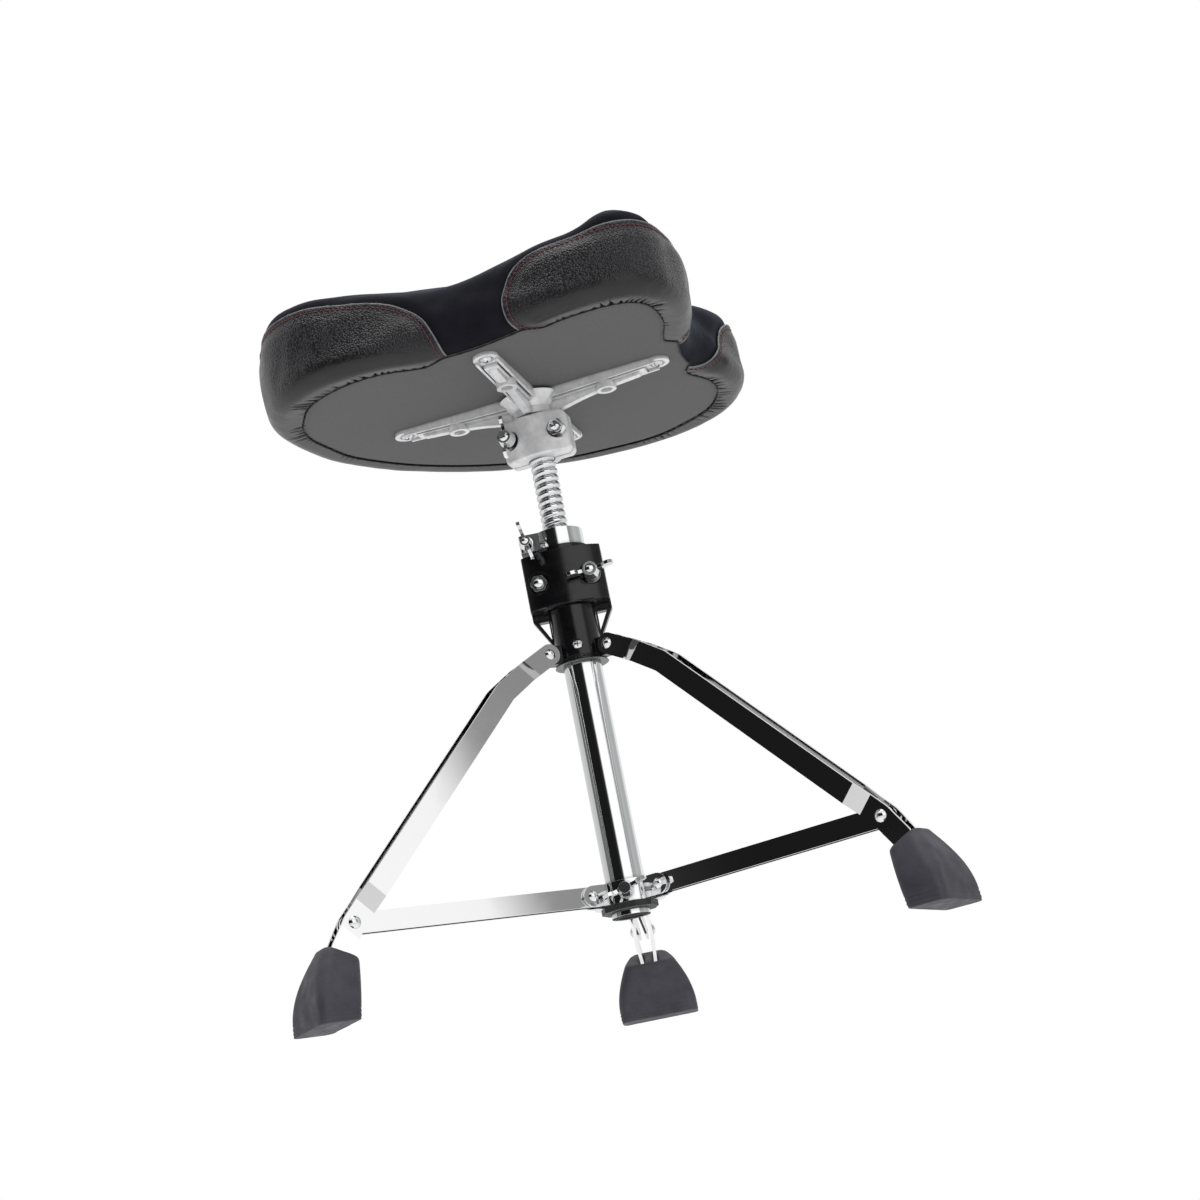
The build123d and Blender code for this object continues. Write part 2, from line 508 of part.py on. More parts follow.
jaw = cyl_z(JAW_FACE_R, CLAMP_Z0, CLAMP_Z1, x=17.4 - JAW_FACE_R)
jaw = jaw & box(0.6, 60, -CLAMP_HALF, CLAMP_HALF, 400, 600)
jaw = round_clamp_corners(jaw)
jaw = fillet([e for e in jaw.edges()
              if e.geom_type == GeomType.CIRCLE and abs(e.radius - JAW_FACE_R) < 0.5], 2.4)
jaw -= cyl_z(ROD_R + RUN, 440, 500)
for side in (-1, 1):
    jaw -= cyl_x(BOLT_HOLE_R, -5, 60, y=side * CLAMP_BOLT_Y, z=CLAMP_BOLT_Z)
    jaw -= cyl_x(HEAD_POCKET_R, JAW_SEAT_X, 60, y=side * CLAMP_BOLT_Y, z=CLAMP_BOLT_Z)
save(turned(JAW_AZ, jaw), "clamp_jaw")

clamp_bolts = [facing_x(1, CLAMP_BACK, y, CLAMP_BOLT_Z) * carriage_bolt(x_end - CLAMP_BACK)
               for x_end, y in ((23.5, CLAMP_BOLT_Y), (31.0, -CLAMP_BOLT_Y))]
save(turned(JAW_AZ, solids_of(*clamp_bolts)), "clamp_bolts")
nut_seat = facing_x(1, JAW_SEAT_X, CLAMP_BOLT_Y, CLAMP_BOLT_Z)
save(turned(JAW_AZ, nut_seat * hex_nut(NUT_FLATS, 7.5, NUT_BORE_R)), "clamp_nut")
washer_seat = facing_x(1, JAW_SEAT_X, -CLAMP_BOLT_Y, CLAMP_BOLT_Z)
save(turned(JAW_AZ, washer_seat * washer(7.4)), "clamp_washer")
wing_seat = radial_plane(JAW_AZ, JAW_SEAT_X + WASHER_T + WING_GAP, -CLAMP_BOLT_Y, CLAMP_BOLT_Z,
                         roll=87.0)
save(wing_seat * wing_nut(BOLT_R + RUN, 19.0, lift=6.6), "clamp_wing_nut")

# ---------------------------------------------------------------- seat board and its fixings
tips = [(ARM_TIP * math.cos(math.radians(az)), ARM_TIP * math.sin(math.radians(az)))
        for az in ARM_AZ]


def drill_tips(part, radius, z0, z1):
    for x, y in tips:
        part -= cyl_z(radius, z0, z1, x=x, y=y)
    return part


board = outline_slab(0.0, BOARD_Z0, BOARD_Z1)
save(drill_tips(board, 4.1, BOARD_Z0 - 1, BOARD_Z1 + 1), "seat_board")
cloth = outline_slab(-15.5, ARM_TOP, BOARD_Z0)
save(drill_tips(cloth, 6.0, ARM_TOP - 1, BOARD_Z0 + 1), "underside_cloth")

screws, tee_nuts = [], []
for x, y in tips:
    screw = cyl_z(2.8, ARM_TOP - 3.2, 523.0, x=x, y=y)
    screw += Pos(x, y, under) * (Rot(180, 0, 0) * dome(5.6, 3.2))
    for half_x, half_y in ((3.0, 0.5), (0.5, 3.0)):    # cross recess
        screw -= box(x - half_x, x + half_x, y - half_y, y + half_y, ARM_TOP - 8, ARM_TOP - 4.8)
    screws.append(screw)
    tee_nut = cyl_z(4.05, 513.0, BOARD_Z1, x=x, y=y)
    tee_nut += cyl_z(9.0, BOARD_Z1, BOARD_Z1 + 1.4, x=x, y=y)
    tee_nuts.append(tee_nut - cyl_z(2.85, 500, 540, x=x, y=y))
save(solids_of(*screws), "bracket_screws")
save(solids_of(*tee_nuts), "tee_nuts")

# ---------------------------------------------------------------- cushion and covers
FOAM_GAP = 0.3
BAND_TOP = SEAT_TOP - 26.0         # top of the side panels
NOSE_Y, REAR_Y = -112.0, -66.0     # where the nose panel ends and the rear panel starts


def cushion(out, z0, z1, top_radius):
    slab = outline_slab(out, z0, z1)
    return fillet(slab.faces().sort_by(Axis.Z)[-1].edges(), top_radius)


outer = cushion(COVER_OUT, ARM_TOP, SEAT_TOP, 22.0)
inner = cushion(COVER_OUT - SKIN, BOARD_Z0, SEAT_TOP - SKIN, 20.0)
foam = cushion(COVER_OUT - SKIN - FOAM_GAP, BOARD_Z0 + 0.1, SEAT_TOP - SKIN - FOAM_GAP, 20.0)
foam -= outline_slab(0.3, BOARD_Z0 - 1, BOARD_Z1 + 0.1)
save(drill_tips(foam, 9.3, BOARD_Z1 - 1, BOARD_Z1 + 1.8), "foam_cushion")

cover = outer - inner - outline_slab(-15.0, ARM_TOP - 1, BOARD_Z0 + 0.01)
cover = drill_tips(cover, 7.0, ARM_TOP - 1, BOARD_Z0 + 0.01)
nose_zone = box(-400, 400, -400, NOSE_Y, 400, BAND_TOP)
rear_zone = box(-400, 400, REAR_Y, 400, 400, BAND_TOP)
save(cover & nose_zone, "nose_side_panel")
save(cover & rear_zone, "rear_side_panel")
save(cover - nose_zone - rear_zone, "fabric_top_cover")
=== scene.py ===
"""A stool seat on a threaded rod and three feet, with its studio.

The rod stands on the Z axis and the floor is z = 0. The seat's narrow nose points to -Y and its
wide rear to +Y. Modelling sizes are in millimetres and are turned into metres with MM. Materials,
modifiers, the cloth, lights and camera are in metres.
"""
import bpy
import bmesh
import json
import math
import random
import numpy as np
from mathutils import Vector, Matrix, geometry, kdtree
from mathutils.bvhtree import BVHTree


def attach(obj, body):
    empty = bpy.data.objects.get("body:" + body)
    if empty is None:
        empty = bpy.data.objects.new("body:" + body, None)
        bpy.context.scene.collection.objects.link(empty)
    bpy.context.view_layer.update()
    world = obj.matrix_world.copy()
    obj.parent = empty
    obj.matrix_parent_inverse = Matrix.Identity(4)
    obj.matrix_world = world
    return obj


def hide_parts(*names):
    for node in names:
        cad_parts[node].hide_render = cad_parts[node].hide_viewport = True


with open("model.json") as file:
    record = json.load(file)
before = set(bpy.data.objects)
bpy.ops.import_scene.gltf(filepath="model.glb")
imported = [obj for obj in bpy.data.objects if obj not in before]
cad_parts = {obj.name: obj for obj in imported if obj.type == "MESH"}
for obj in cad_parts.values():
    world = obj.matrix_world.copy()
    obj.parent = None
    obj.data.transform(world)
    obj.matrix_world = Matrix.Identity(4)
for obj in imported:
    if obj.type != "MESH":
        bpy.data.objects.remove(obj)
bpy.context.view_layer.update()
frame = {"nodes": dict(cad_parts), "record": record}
random.seed(11)
MM = 0.001
scene = bpy.context.scene


# ---------------------------------------------------------------- mesh helpers
def new_mesh(name, verts, faces, material, smooth=True):
    mesh = bpy.data.meshes.new(name)
    mesh.from_pydata([tuple(v) for v in verts], [], [tuple(f) for f in faces])
    mesh.update()
    if smooth:
        shade_smooth(mesh)
    ob = bpy.data.objects.new(name, mesh)
    scene.collection.objects.link(ob)
    if material:
        mesh.materials.append(material)
    return ob


def shade_smooth(mesh):
    mesh.polygons.foreach_set("use_smooth", [True] * len(mesh.polygons))


def set_material(mesh, material):
    mesh.materials.clear()
    mesh.materials.append(material)


def fix_normals(ob):
    bm = bmesh.new()
    bm.from_mesh(ob.data)
    bmesh.ops.recalc_face_normals(bm, faces=bm.faces)
    bm.to_mesh(ob.data)
    bm.free()


def add_to_seat(ob):
    fix_normals(ob)
    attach(ob, "seat")


def apply_modifiers(ob):
    depsgraph = bpy.context.evaluated_depsgraph_get()
    mesh = bpy.data.meshes.new_from_object(ob.evaluated_get(depsgraph))
    ob.modifiers.clear()
    old = ob.data
    ob.data = mesh
    bpy.data.meshes.remove(old)


def get_points(mesh):
    points = np.empty(len(mesh.vertices) * 3)
    mesh.vertices.foreach_get("co", points)
    return points.reshape(-1, 3)


def set_points(mesh, points):
    mesh.vertices.foreach_set("co", points.ravel())
    mesh.update()


def ring_quads(rings, sides, first=0, closed=False):
    """Quads joining successive rings of vertices; closed also joins the last to the first."""
    faces = []
    for i in range(rings if closed else rings - 1):
        here = first + i * sides
        there = first + (i + 1) % rings * sides
        for j in range(sides):
            k = (j + 1) % sides
            faces.append((here + j, here + k, there + k, there + j))
    return faces


def smoothstep(a, b, x):
    t = np.clip((np.asarray(x, float) - a) / (b - a), 0.0, 1.0)
    return t * t * (3 - 2 * t)


def unit(vectors):
    return vectors / np.maximum(np.linalg.norm(vectors, axis=1), 1e-12)[:, None]


def step_lengths(points):
    return np.linalg.norm(np.diff(points, axis=0), axis=1)


def nearest_distance(points, targets):
    """Distance from each 2D or 3D point to the nearest target."""
    tree = kdtree.KDTree(len(targets))
    for i, p in enumerate(targets):
        tree.insert((*p, 0.0)[:3], i)
    tree.balance()
    return np.array([tree.find((*p, 0.0)[:3])[2] for p in points])


# ---------------------------------------------------------------- shader helpers
def add_node(tree, kind, inputs=None, **settings):
    """Add a node; each input is given as a value or as the socket that feeds it."""
    node = tree.nodes.new(kind)
    for key, value in settings.items():
        setattr(node, key, value)
    for key, source in (inputs or {}).items():
        if isinstance(source, bpy.types.NodeSocket):
            tree.links.new(source, node.inputs[key])
        else:
            node.inputs[key].default_value = source
    return node


def add_ramp(tree, source, stops):
    """Colour ramp with stops of (position, linear colour)."""
    node = add_node(tree, "ShaderNodeValToRGB", {"Fac": source})
    elements = node.color_ramp.elements
    while len(elements) > 1:
        elements.remove(elements[-1])
    for i, (position, color) in enumerate(stops):
        element = elements[0] if i == 0 else elements.new(position)
        element.position = position
        element.color = (*color, 1)
    return node.outputs["Color"]


def grey(value):
    return (value,) * 3


def linear(color):
    """Linear colour from 0-255 sRGB."""
    return tuple(x / 12.92 if x <= 0.04045 else ((x + 0.055) / 1.055) ** 2.4
                 for x in [v / 255.0 for v in color])


class Material:
    """Principled shader with procedural colour, roughness and bump; colours are 0-255 sRGB."""

    def __init__(self, name, color, metallic=0.0, roughness=0.5, extra=None):
        self.material = bpy.data.materials.new(name)
        self.material.use_nodes = True
        self.tree = self.material.node_tree
        self.shader = self.tree.nodes["Principled BSDF"]
        self.coord = self.add("ShaderNodeTexCoord").outputs["Object"]
        self.normal = None
        rgba = (*linear(color), 1)
        values = {"Base Color": rgba, "Metallic": metallic, "Roughness": roughness}
        for key, value in {**values, **(extra or {})}.items():
            self.shader.inputs[key].default_value = value
        self.material.diffuse_color = rgba

    def add(self, kind, inputs=None, **settings):
        return add_node(self.tree, kind, inputs, **settings)

    def ramp(self, source, stops):
        return add_ramp(self.tree, source, stops)

    def feed(self, source, key):
        self.tree.links.new(source, self.shader.inputs[key])

    def noise(self, scale, detail=3.0, roughness=0.5, stretch=None):
        vector = self.coord
        if stretch:
            mapping = self.add("ShaderNodeMapping", {"Scale": stretch, "Vector": vector})
            vector = mapping.outputs["Vector"]
        return self.add("ShaderNodeTexNoise", {
            "Scale": scale, "Detail": detail, "Roughness": roughness, "Vector": vector,
        }).outputs["Fac"]

    def voronoi(self, scale, smoothness=None):
        feature = "F1" if smoothness is None else "SMOOTH_F1"
        node = self.add("ShaderNodeTexVoronoi", feature=feature, inputs={
            "Scale": scale, "Randomness": 0.9, "Vector": self.coord})
        if smoothness is not None:
            node.inputs["Smoothness"].default_value = smoothness
        return node.outputs["Distance"]

    def vary_color(self, source, low, high):
        self.feed(self.ramp(source, [(0.3, linear(low)), (0.7, linear(high))]), "Base Color")

    def vary_roughness(self, source, low, high):
        self.feed(self.ramp(source, [(0.3, grey(low)), (0.7, grey(high))]), "Roughness")

    def bevel(self, radius):
        """Round the shading of edges."""
        node = self.add("ShaderNodeBevel", {"Radius": radius}, samples=4)
        self.normal = node.outputs["Normal"]
        self.feed(self.normal, "Normal")

    def paint_crease_shade(self, distance, dark):
        """Paint shade into the base colour in narrow gaps and inside corners, from ambient
        occlusion.
        """
        base = self.shader.inputs["Base Color"]
        before = base.links[0].from_socket if base.links else tuple(base.default_value)
        inputs = {"Distance": distance}
        if self.normal is not None:
            inputs["Normal"] = self.normal
        occlusion = self.add("ShaderNodeAmbientOcclusion", inputs, samples=6)
        shade = self.ramp(occlusion.outputs["AO"], [(0.35, grey(dark)), (0.92, grey(1))])
        self.feed(self.multiply(before, shade), "Base Color")

    def multiply(self, first, second):
        return self.add("ShaderNodeMixRGB", {"Fac": 1.0, "Color1": first, "Color2": second},
                        blend_type="MULTIPLY").outputs[0]

    def bump(self, source, strength, distance):
        inputs = {"Strength": strength, "Distance": distance, "Height": source}
        if self.normal is not None:
            inputs["Normal"] = self.normal
        node = self.add("ShaderNodeBump", inputs)
        self.normal = node.outputs["Normal"]
        self.feed(self.normal, "Normal")
        return node


# ---------------------------------------------------------------- materials
def chrome():
    """Polished plate with faint polishing lines."""
    mat = Material("chrome", (231, 232, 233), metallic=1.0, roughness=0.05)
    mat.bevel(radius=0.0004)
    # painted shade: the plate's colour is darkened in creases and narrow gaps
    mat.paint_crease_shade(distance=0.0045, dark=0.05)
    mat.vary_roughness(mat.noise(scale=60, detail=4), low=0.02, high=0.07)
    mat.bump(mat.noise(scale=160, detail=2), strength=0.015, distance=0.0003)
    return mat.material


def chrome_strip():
    mat = Material("chrome_strip", (230, 230, 230), metallic=1.0, roughness=0.07)
    mat.vary_roughness(mat.noise(scale=45, detail=5, roughness=0.6), low=0.02, high=0.06)
    mat.bump(mat.noise(scale=26, detail=2), strength=0.006, distance=0.0008)
    return mat.material


def black_casting():
    """Gloss black enamel on a casting."""
    mat = Material("black_casting", (10, 10, 11), roughness=0.22, extra={
        "Coat Weight": 0.30, "Coat Roughness": 0.08, "Specular IOR Level": 0.32})
    mat.bevel(radius=0.0012)
    mat.vary_color(mat.noise(scale=90), low=(8, 8, 9), high=(15, 15, 17))
    mat.vary_roughness(mat.noise(scale=140), low=0.16, high=0.28)
    mat.bump(mat.noise(scale=260, detail=4, roughness=0.6), strength=0.10, distance=0.0004)
    return mat.material


def zinc_steel():
    """Zinc plated hardware."""
    mat = Material("zinc_steel", (205, 206, 208), metallic=1.0, roughness=0.16)
    mat.bevel(radius=0.0004)
    mat.vary_color(mat.noise(scale=220), low=(178, 180, 184), high=(222, 222, 224))
    # painted shade: the zinc colour is darkened in recesses and narrow gaps
    mat.paint_crease_shade(distance=0.003, dark=0.12)
    mat.vary_roughness(mat.noise(scale=160, detail=4), low=0.09, high=0.24)
    mat.bump(mat.noise(scale=500), strength=0.06, distance=0.0003)
    return mat.material


def black_nylon():
    mat = Material("black_nylon", (22, 22, 23), roughness=0.42)
    mat.bevel(radius=0.0005)
    mat.vary_color(mat.noise(scale=120), low=(18, 18, 19), high=(30, 30, 31))
    mat.vary_roughness(mat.noise(scale=300), low=0.32, high=0.52)
    mat.bump(mat.noise(scale=700), strength=0.15, distance=0.0003)
    return mat.material


def rubber():
    """Dark moulded rubber, a little dusty."""
    mat = Material("rubber", (54, 54, 62), roughness=0.6)
    mat.vary_color(mat.noise(scale=30, detail=5, roughness=0.65),
                   low=(42, 42, 50), high=(60, 60, 68))
    mat.vary_roughness(mat.noise(scale=80, detail=4), low=0.48, high=0.7)
    mat.bump(mat.noise(scale=900, detail=4, roughness=0.6), strength=0.25, distance=0.0003)
    return mat.material


def cast_aluminium():
    """As-cast aluminium, bead blasted."""
    mat = Material("cast_aluminium", (206, 206, 207), metallic=0.32, roughness=0.40)
    mat.bevel(radius=0.0006)
    mat.vary_color(mat.noise(scale=130, detail=5, roughness=0.6),
                   low=(206, 206, 208), high=(236, 236, 236))
    # painted shade: the casting's colour is darkened in creases and inside corners
    mat.paint_crease_shade(distance=0.0030, dark=0.36)
    mat.vary_roughness(mat.noise(scale=60, detail=4), low=0.30, high=0.46)
    mat.bump(mat.noise(scale=650, detail=4, roughness=0.7), strength=0.30, distance=0.0004)
    return mat.material


def plywood():
    """Birch plywood."""
    mat = Material("plywood", (190, 152, 104), roughness=0.6)
    mat.vary_color(mat.noise(scale=20, detail=6, roughness=0.7, stretch=(1.0, 14.0, 1.0)),
                   low=(166, 124, 80), high=(208, 172, 124))
    mat.bump(mat.noise(scale=40, detail=6, roughness=0.7, stretch=(1.0, 22.0, 1.0)),
             strength=0.2, distance=0.0005)
    return mat.material


def foam():
    mat = Material("foam", (226, 214, 176), roughness=0.9)
    mat.vary_color(mat.voronoi(scale=400, smoothness=0.4),
                   low=(206, 192, 150), high=(236, 226, 192))
    mat.bump(mat.voronoi(scale=500, smoothness=0.4), strength=0.6, distance=0.0008)
    return mat.material


def microfibre():
    """Short-napped cloth: nearly black with a blue cast and a soft sheen."""
    mat = Material("microfibre", (17, 17, 23), roughness=0.85, extra={
        "Sheen Weight": 0.10, "Sheen Roughness": 0.35, "Sheen Tint": (0.55, 0.65, 0.9, 1),
        "Specular IOR Level": 0.15})
    mat.vary_color(mat.noise(scale=38, detail=6, roughness=0.65),
                   low=(12, 12, 18), high=(22, 22, 30))
    mat.bump(mat.noise(scale=1500, detail=4, roughness=0.6), strength=0.35, distance=0.0003)
    mat.bump(mat.noise(scale=70, detail=4, roughness=0.6), strength=0.10, distance=0.0012)
    return mat.material


def vinyl():
    """Pebble-grain vinyl with painted glints on the pebbles. Mesh attributes: stretch flattens
    the grain, gap paints shade into the pleat gaps.
    """
    mat = Material("vinyl", (12, 12, 15), roughness=0.42, extra={
        "Coat Weight": 0.55, "Coat Roughness": 0.16})
    grain = mat.voronoi(scale=650)
    stretch = mat.add("ShaderNodeAttribute", attribute_name="stretch").outputs["Fac"]
    gap = mat.add("ShaderNodeAttribute", attribute_name="gap").outputs["Fac"]
    # painted highlights: the base colour is light on the pebble tops and near black between them
    pebble_glints = mat.ramp(grain, [(0.14, linear((54, 54, 62))), (0.38, linear((4, 4, 8)))])
    plain = mat.ramp(mat.noise(scale=60, detail=4),
                     [(0.3, linear((20, 20, 20))), (0.7, linear((29, 29, 28)))])
    color = mat.add("ShaderNodeMixRGB", {"Fac": stretch, "Color1": pebble_glints, "Color2": plain})
    # painted shade: the base colour goes nearly black inside the pleat gaps
    gap_shade = mat.ramp(gap, [(0.12, grey(1)), (0.50, grey(0.04))])
    mat.feed(mat.multiply(color.outputs[0], gap_shade), "Base Color")
    # painted shade: the vinyl's colour is darkened in folds and inside corners
    mat.paint_crease_shade(distance=0.004, dark=0.08)

    # painted shade: the shine fades inside the pleat gaps
    specular = mat.ramp(gap, [(0.12, grey(0.25)), (0.50, grey(0.02))])
    mat.feed(specular, "Specular IOR Level")
    coat = mat.add("ShaderNodeMath", {0: specular, 1: 1.5}, operation="MULTIPLY")
    mat.feed(coat.outputs[0], "Coat Weight")
    mat.vary_roughness(mat.noise(scale=70, detail=4), low=0.32, high=0.44)

    height = mat.add("ShaderNodeMath", {0: 1.0, 1: grain}, operation="SUBTRACT").outputs[0]
    strength = mat.add("ShaderNodeMath", {0: stretch, 1: -0.88, 2: 1.0},
                       operation="MULTIPLY_ADD").outputs[0]
    bump = mat.bump(height, strength=1.0, distance=0.0007)
    mat.tree.links.new(strength, bump.inputs["Strength"])
    mat.feed(bump.outputs["Normal"], "Coat Normal")
    return mat.material


def piping_edge_and_sheen():
    # lighter grey: the light backing at the cut edge, and a painted sheen along the piping
    mat = Material("piping_edge_and_sheen", (70, 69, 70), roughness=0.4)
    mat.vary_color(mat.noise(scale=150), low=(78, 77, 79), high=(128, 126, 127))
    mat.bump(mat.noise(scale=900), strength=0.3, distance=0.0003)
    return mat.material


def stitch_thread():
    """Dark red twisted thread."""
    mat = Material("stitch_thread", (120, 26, 44), roughness=0.55, extra={"Sheen Weight": 0.2})
    twist = mat.add("ShaderNodeTexWave", wave_type="BANDS", bands_direction="DIAGONAL",
                    inputs={"Scale": 900, "Distortion": 1.0, "Vector": mat.coord})
    mat.bump(twist.outputs["Fac"], strength=0.6, distance=0.0002)
    mat.vary_color(mat.noise(scale=300), low=(82, 20, 34), high=(120, 34, 52))
    return mat.material


def tuck_shade_paint():
    # near black for the painted shade line in the gap along the cloth's tucked edge
    mat = Material("tuck_shade_paint", (9, 9, 9), roughness=0.7)
    mat.vary_color(mat.noise(scale=200), low=(5, 5, 5), high=(16, 16, 16))
    return mat.material


def grey_cloth():
    """Non-woven cloth stapled under the board."""
    mat = Material("grey_cloth", (110, 110, 110), roughness=0.92, extra={"Sheen Weight": 0.1})
    mat.vary_color(mat.noise(scale=1100, detail=5, roughness=0.7),
                   low=(69, 69, 69), high=(89, 89, 89))
    mat.bump(mat.noise(scale=1600, detail=4, roughness=0.7), strength=0.4, distance=0.0003)
    mat.bump(mat.noise(scale=22), strength=0.12, distance=0.003)
    return mat.material


def pale_floor():
    mat = Material("pale_floor", (238, 238, 238), roughness=0.7)
    mat.vary_color(mat.noise(scale=3, detail=4), low=(237, 237, 237), high=(240, 240, 240))
    return mat.material


MATS = {build.__name__: build() for build in (
    chrome, chrome_strip, black_casting, zinc_steel, black_nylon, rubber, cast_aluminium,
    plywood, foam, microfibre, vinyl, piping_edge_and_sheen, stitch_thread, tuck_shade_paint, grey_cloth)}
MATS["floor"] = pale_floor()


def dress_cad_pieces():
    """Give every CAD piece the material its record names, or zinc."""
    slots = {}
    for part in frame["record"].get("subparts", []):
        slots[part.get("name") or part.get("node")] = (
            part.get("material_slot") or part.get("material"))
    extra = {"threaded_rod": "chrome"}
    for name, ob in frame["nodes"].items():
        slot = slots.get(name) or extra.get(name) or "zinc_steel"
        set_material(ob.data, MATS.get(slot, MATS["zinc_steel"]))


dress_cad_pieces()

# ---------------------------------------------------------------- threaded rod
ROD_R, ROOT_R, PITCH = 11.08, 9.75, 6.35
ROD_Z0, ROD_Z1 = 150.0, 487.0
ROD_STEP = 0.55             # length of a mesh row
ROD_SIDES = 56
# one pitch of thread: (fraction of the pitch, height from root 0 to crest 1)
THREAD = [(0.0, 0.0), (0.10, 0.04), (0.22, 0.45), (0.34, 0.93), (0.50, 1.0),
          (0.66, 0.93), (0.78, 0.45), (0.90, 0.04), (1.0, 0.0)]
TIP_R = 8.6                 # radius of the end faces
CHAMFER, CHAMFER_RISE = 1.4, 1.4
RUN_OUT, RUN_OUT_RISE = 3.0, 10.0


def build_rod():
    rows = int((ROD_Z1 - ROD_Z0) / ROD_STEP)
    z, angle = np.meshgrid(np.linspace(ROD_Z0, ROD_Z1, rows),
                           np.linspace(0, 2 * math.pi, ROD_SIDES, endpoint=False), indexing="ij")
    phase = np.mod(z / PITCH - angle / (2 * math.pi), 1.0)
    radius = ROOT_R + (ROD_R - ROOT_R) * np.interp(phase, *zip(*THREAD))
    end = np.minimum(z - ROD_Z0, ROD_Z1 - z)
    radius = np.minimum(radius, TIP_R + CHAMFER_RISE * np.clip(end / CHAMFER, 0, 1)
                        + RUN_OUT_RISE * np.clip((end - CHAMFER) / RUN_OUT, 0, 1))
    points = np.stack([radius * np.cos(angle), radius * np.sin(angle), z], -1)
    verts = list(points.reshape(-1, 3) * MM) + [(0, 0, ROD_Z0 * MM), (0, 0, ROD_Z1 * MM)]
    faces = ring_quads(rows, ROD_SIDES)
    low, high = len(verts) - 2, len(verts) - 1
    last = (rows - 1) * ROD_SIDES
    for j in range(ROD_SIDES):
        k = (j + 1) % ROD_SIDES
        faces.append((low, k, j))
        faces.append((high, last + j, last + k))
    rod = new_mesh("threaded_rod_helix", verts, faces, MATS["chrome"])
    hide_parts("threaded_rod")
    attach(rod, "rod")


build_rod()


# ---------------------------------------------------------------- rubber feet (metres)
FOOT_SWELL, FOOT_TOP_PINCH = 0.085, 0.04
RIB_DEPTH, RIB_PITCH = 0.016, 0.0034    # depth as a fraction of the foot's width


def build_foot(leg):
    """Soften the CAD foot, swell it and ring its lower part with ribs."""
    mesh = frame["nodes"]["rubber_foot_" + leg].data.copy()
    foot = bpy.data.objects.new("foot_moulding_" + leg, mesh)
    scene.collection.objects.link(foot)
    remesh = foot.modifiers.new("remesh", "REMESH")
    remesh.mode = "VOXEL"
    remesh.voxel_size = 0.0011
    smooth = foot.modifiers.new("smooth", "SMOOTH")
    smooth.factor = 0.5
    smooth.iterations = 16
    apply_modifiers(foot)

    points = get_points(foot.data)
    points[:, 2] -= points[:, 2].min()
    z = points[:, 2]
    top = z.max()
    base_centre = points[z < 0.006].mean(0)
    top_centre = points[z > top - 0.010].mean(0)
    t = z / top
    scale = 1.0 + FOOT_SWELL * np.sin(np.pi * np.clip(t, 0, 1))
    scale = scale - FOOT_TOP_PINCH * smoothstep(0.80, 1.0, t)
    ribs = 0.5 - 0.5 * np.cos(2 * np.pi * z / RIB_PITCH)
    rib_zone = smoothstep(0.0008, 0.002, z) * (1 - smoothstep(0.0105, 0.0125, z))
    scale = scale - RIB_DEPTH * ribs * rib_zone
    for axis in (0, 1):
        centre = base_centre[axis] + (top_centre[axis] - base_centre[axis]) * t
        points[:, axis] = centre + (points[:, axis] - centre) * scale
    set_points(foot.data, points)
    set_material(foot.data, MATS["rubber"])
    shade_smooth(foot.data)
    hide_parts("rubber_foot_" + leg)
    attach(foot, "leg_" + leg)


for leg in ("rear", "left", "right"):
    build_foot(leg)

# ---------------------------------------------------------------- seat outline
# (x, y) of the +x half, from the nose tip round to the rear
HALF_OUTLINE = [
    (0, -196), (20, -190), (41, -172), (56, -153), (66, -134), (75, -119), (88, -99), (113, -73),
    (132, -61), (150, -54), (170, -41), (185, -23), (195, -2), (200, 20), (199, 35), (194, 55),
    (185, 80), (165, 105), (143, 122), (122, 137), (87, 151), (50, 160), (0, 164)]
COVER = 13.0                # from the outline out to the cover
OUTLINE_STEPS = 1248


def cover_controls():
    """Both halves of the outline moved outward by COVER, closed."""
    points = [(float(x), float(y)) for x, y in HALF_OUTLINE]
    points += [(-x, y) for x, y in points[-2:0:-1]]
    n = len(points)
    out = []
    for i, (x, y) in enumerate(points):
        x0, y0 = points[(i - 1) % n]
        x1, y1 = points[(i + 1) % n]
        d = math.hypot(x1 - x0, y1 - y0)
        out.append((x + (y1 - y0) / d * COVER, y - (x1 - x0) / d * COVER))
    return np.array(out + [out[0]])


def periodic_spline(knots, fractions):
    """Closed cubic spline through the knots, read at fractions of its chord length."""
    length = np.concatenate([[0], np.cumsum(step_lengths(knots))])
    n = len(knots) - 1
    gap = np.diff(length)
    system = np.zeros((n, n))
    target = np.zeros((n, 2))
    for i in range(n):
        before, after = gap[(i - 1) % n], gap[i]
        system[i, (i - 1) % n] += before
        system[i, i] += 2 * (before + after)
        system[i, (i + 1) % n] += after
        target[i] = 6 * ((knots[i + 1] - knots[i]) / after
                         - (knots[i] - knots[(i - 1) % n]) / before)
    bend = np.linalg.solve(system, target)      # second derivatives
    bend = np.vstack([bend, bend[0]])
    at = np.mod(fractions * length[-1], length[-1])
    i = np.clip(np.searchsorted(length, at, side="right") - 1, 0, n - 1)
    width = gap[i]
    a, b = (length[i + 1] - at) / width, (at - length[i]) / width
    return (a[:, None] * knots[i] + b[:, None] * knots[i + 1]
            + ((a ** 3 - a)[:, None] * bend[i] + (b ** 3 - b)[:, None] * bend[i + 1])
            * (width ** 2)[:, None] / 6)


def smooth_ring(values, sigma):
    """Gaussian smoothing round a closed array."""
    shifts = np.arange(-3 * sigma, 3 * sigma + 1)
    kernel = np.exp(-0.5 * (shifts / sigma) ** 2)
    kernel /= kernel.sum()
    out = np.zeros_like(values)
    for shift, weight in zip(shifts, kernel):
        out += weight * np.roll(values, shift, axis=0)
    return out


def step_across(values, n):
    return np.roll(values, -n, axis=0) - np.roll(values, n, axis=0)


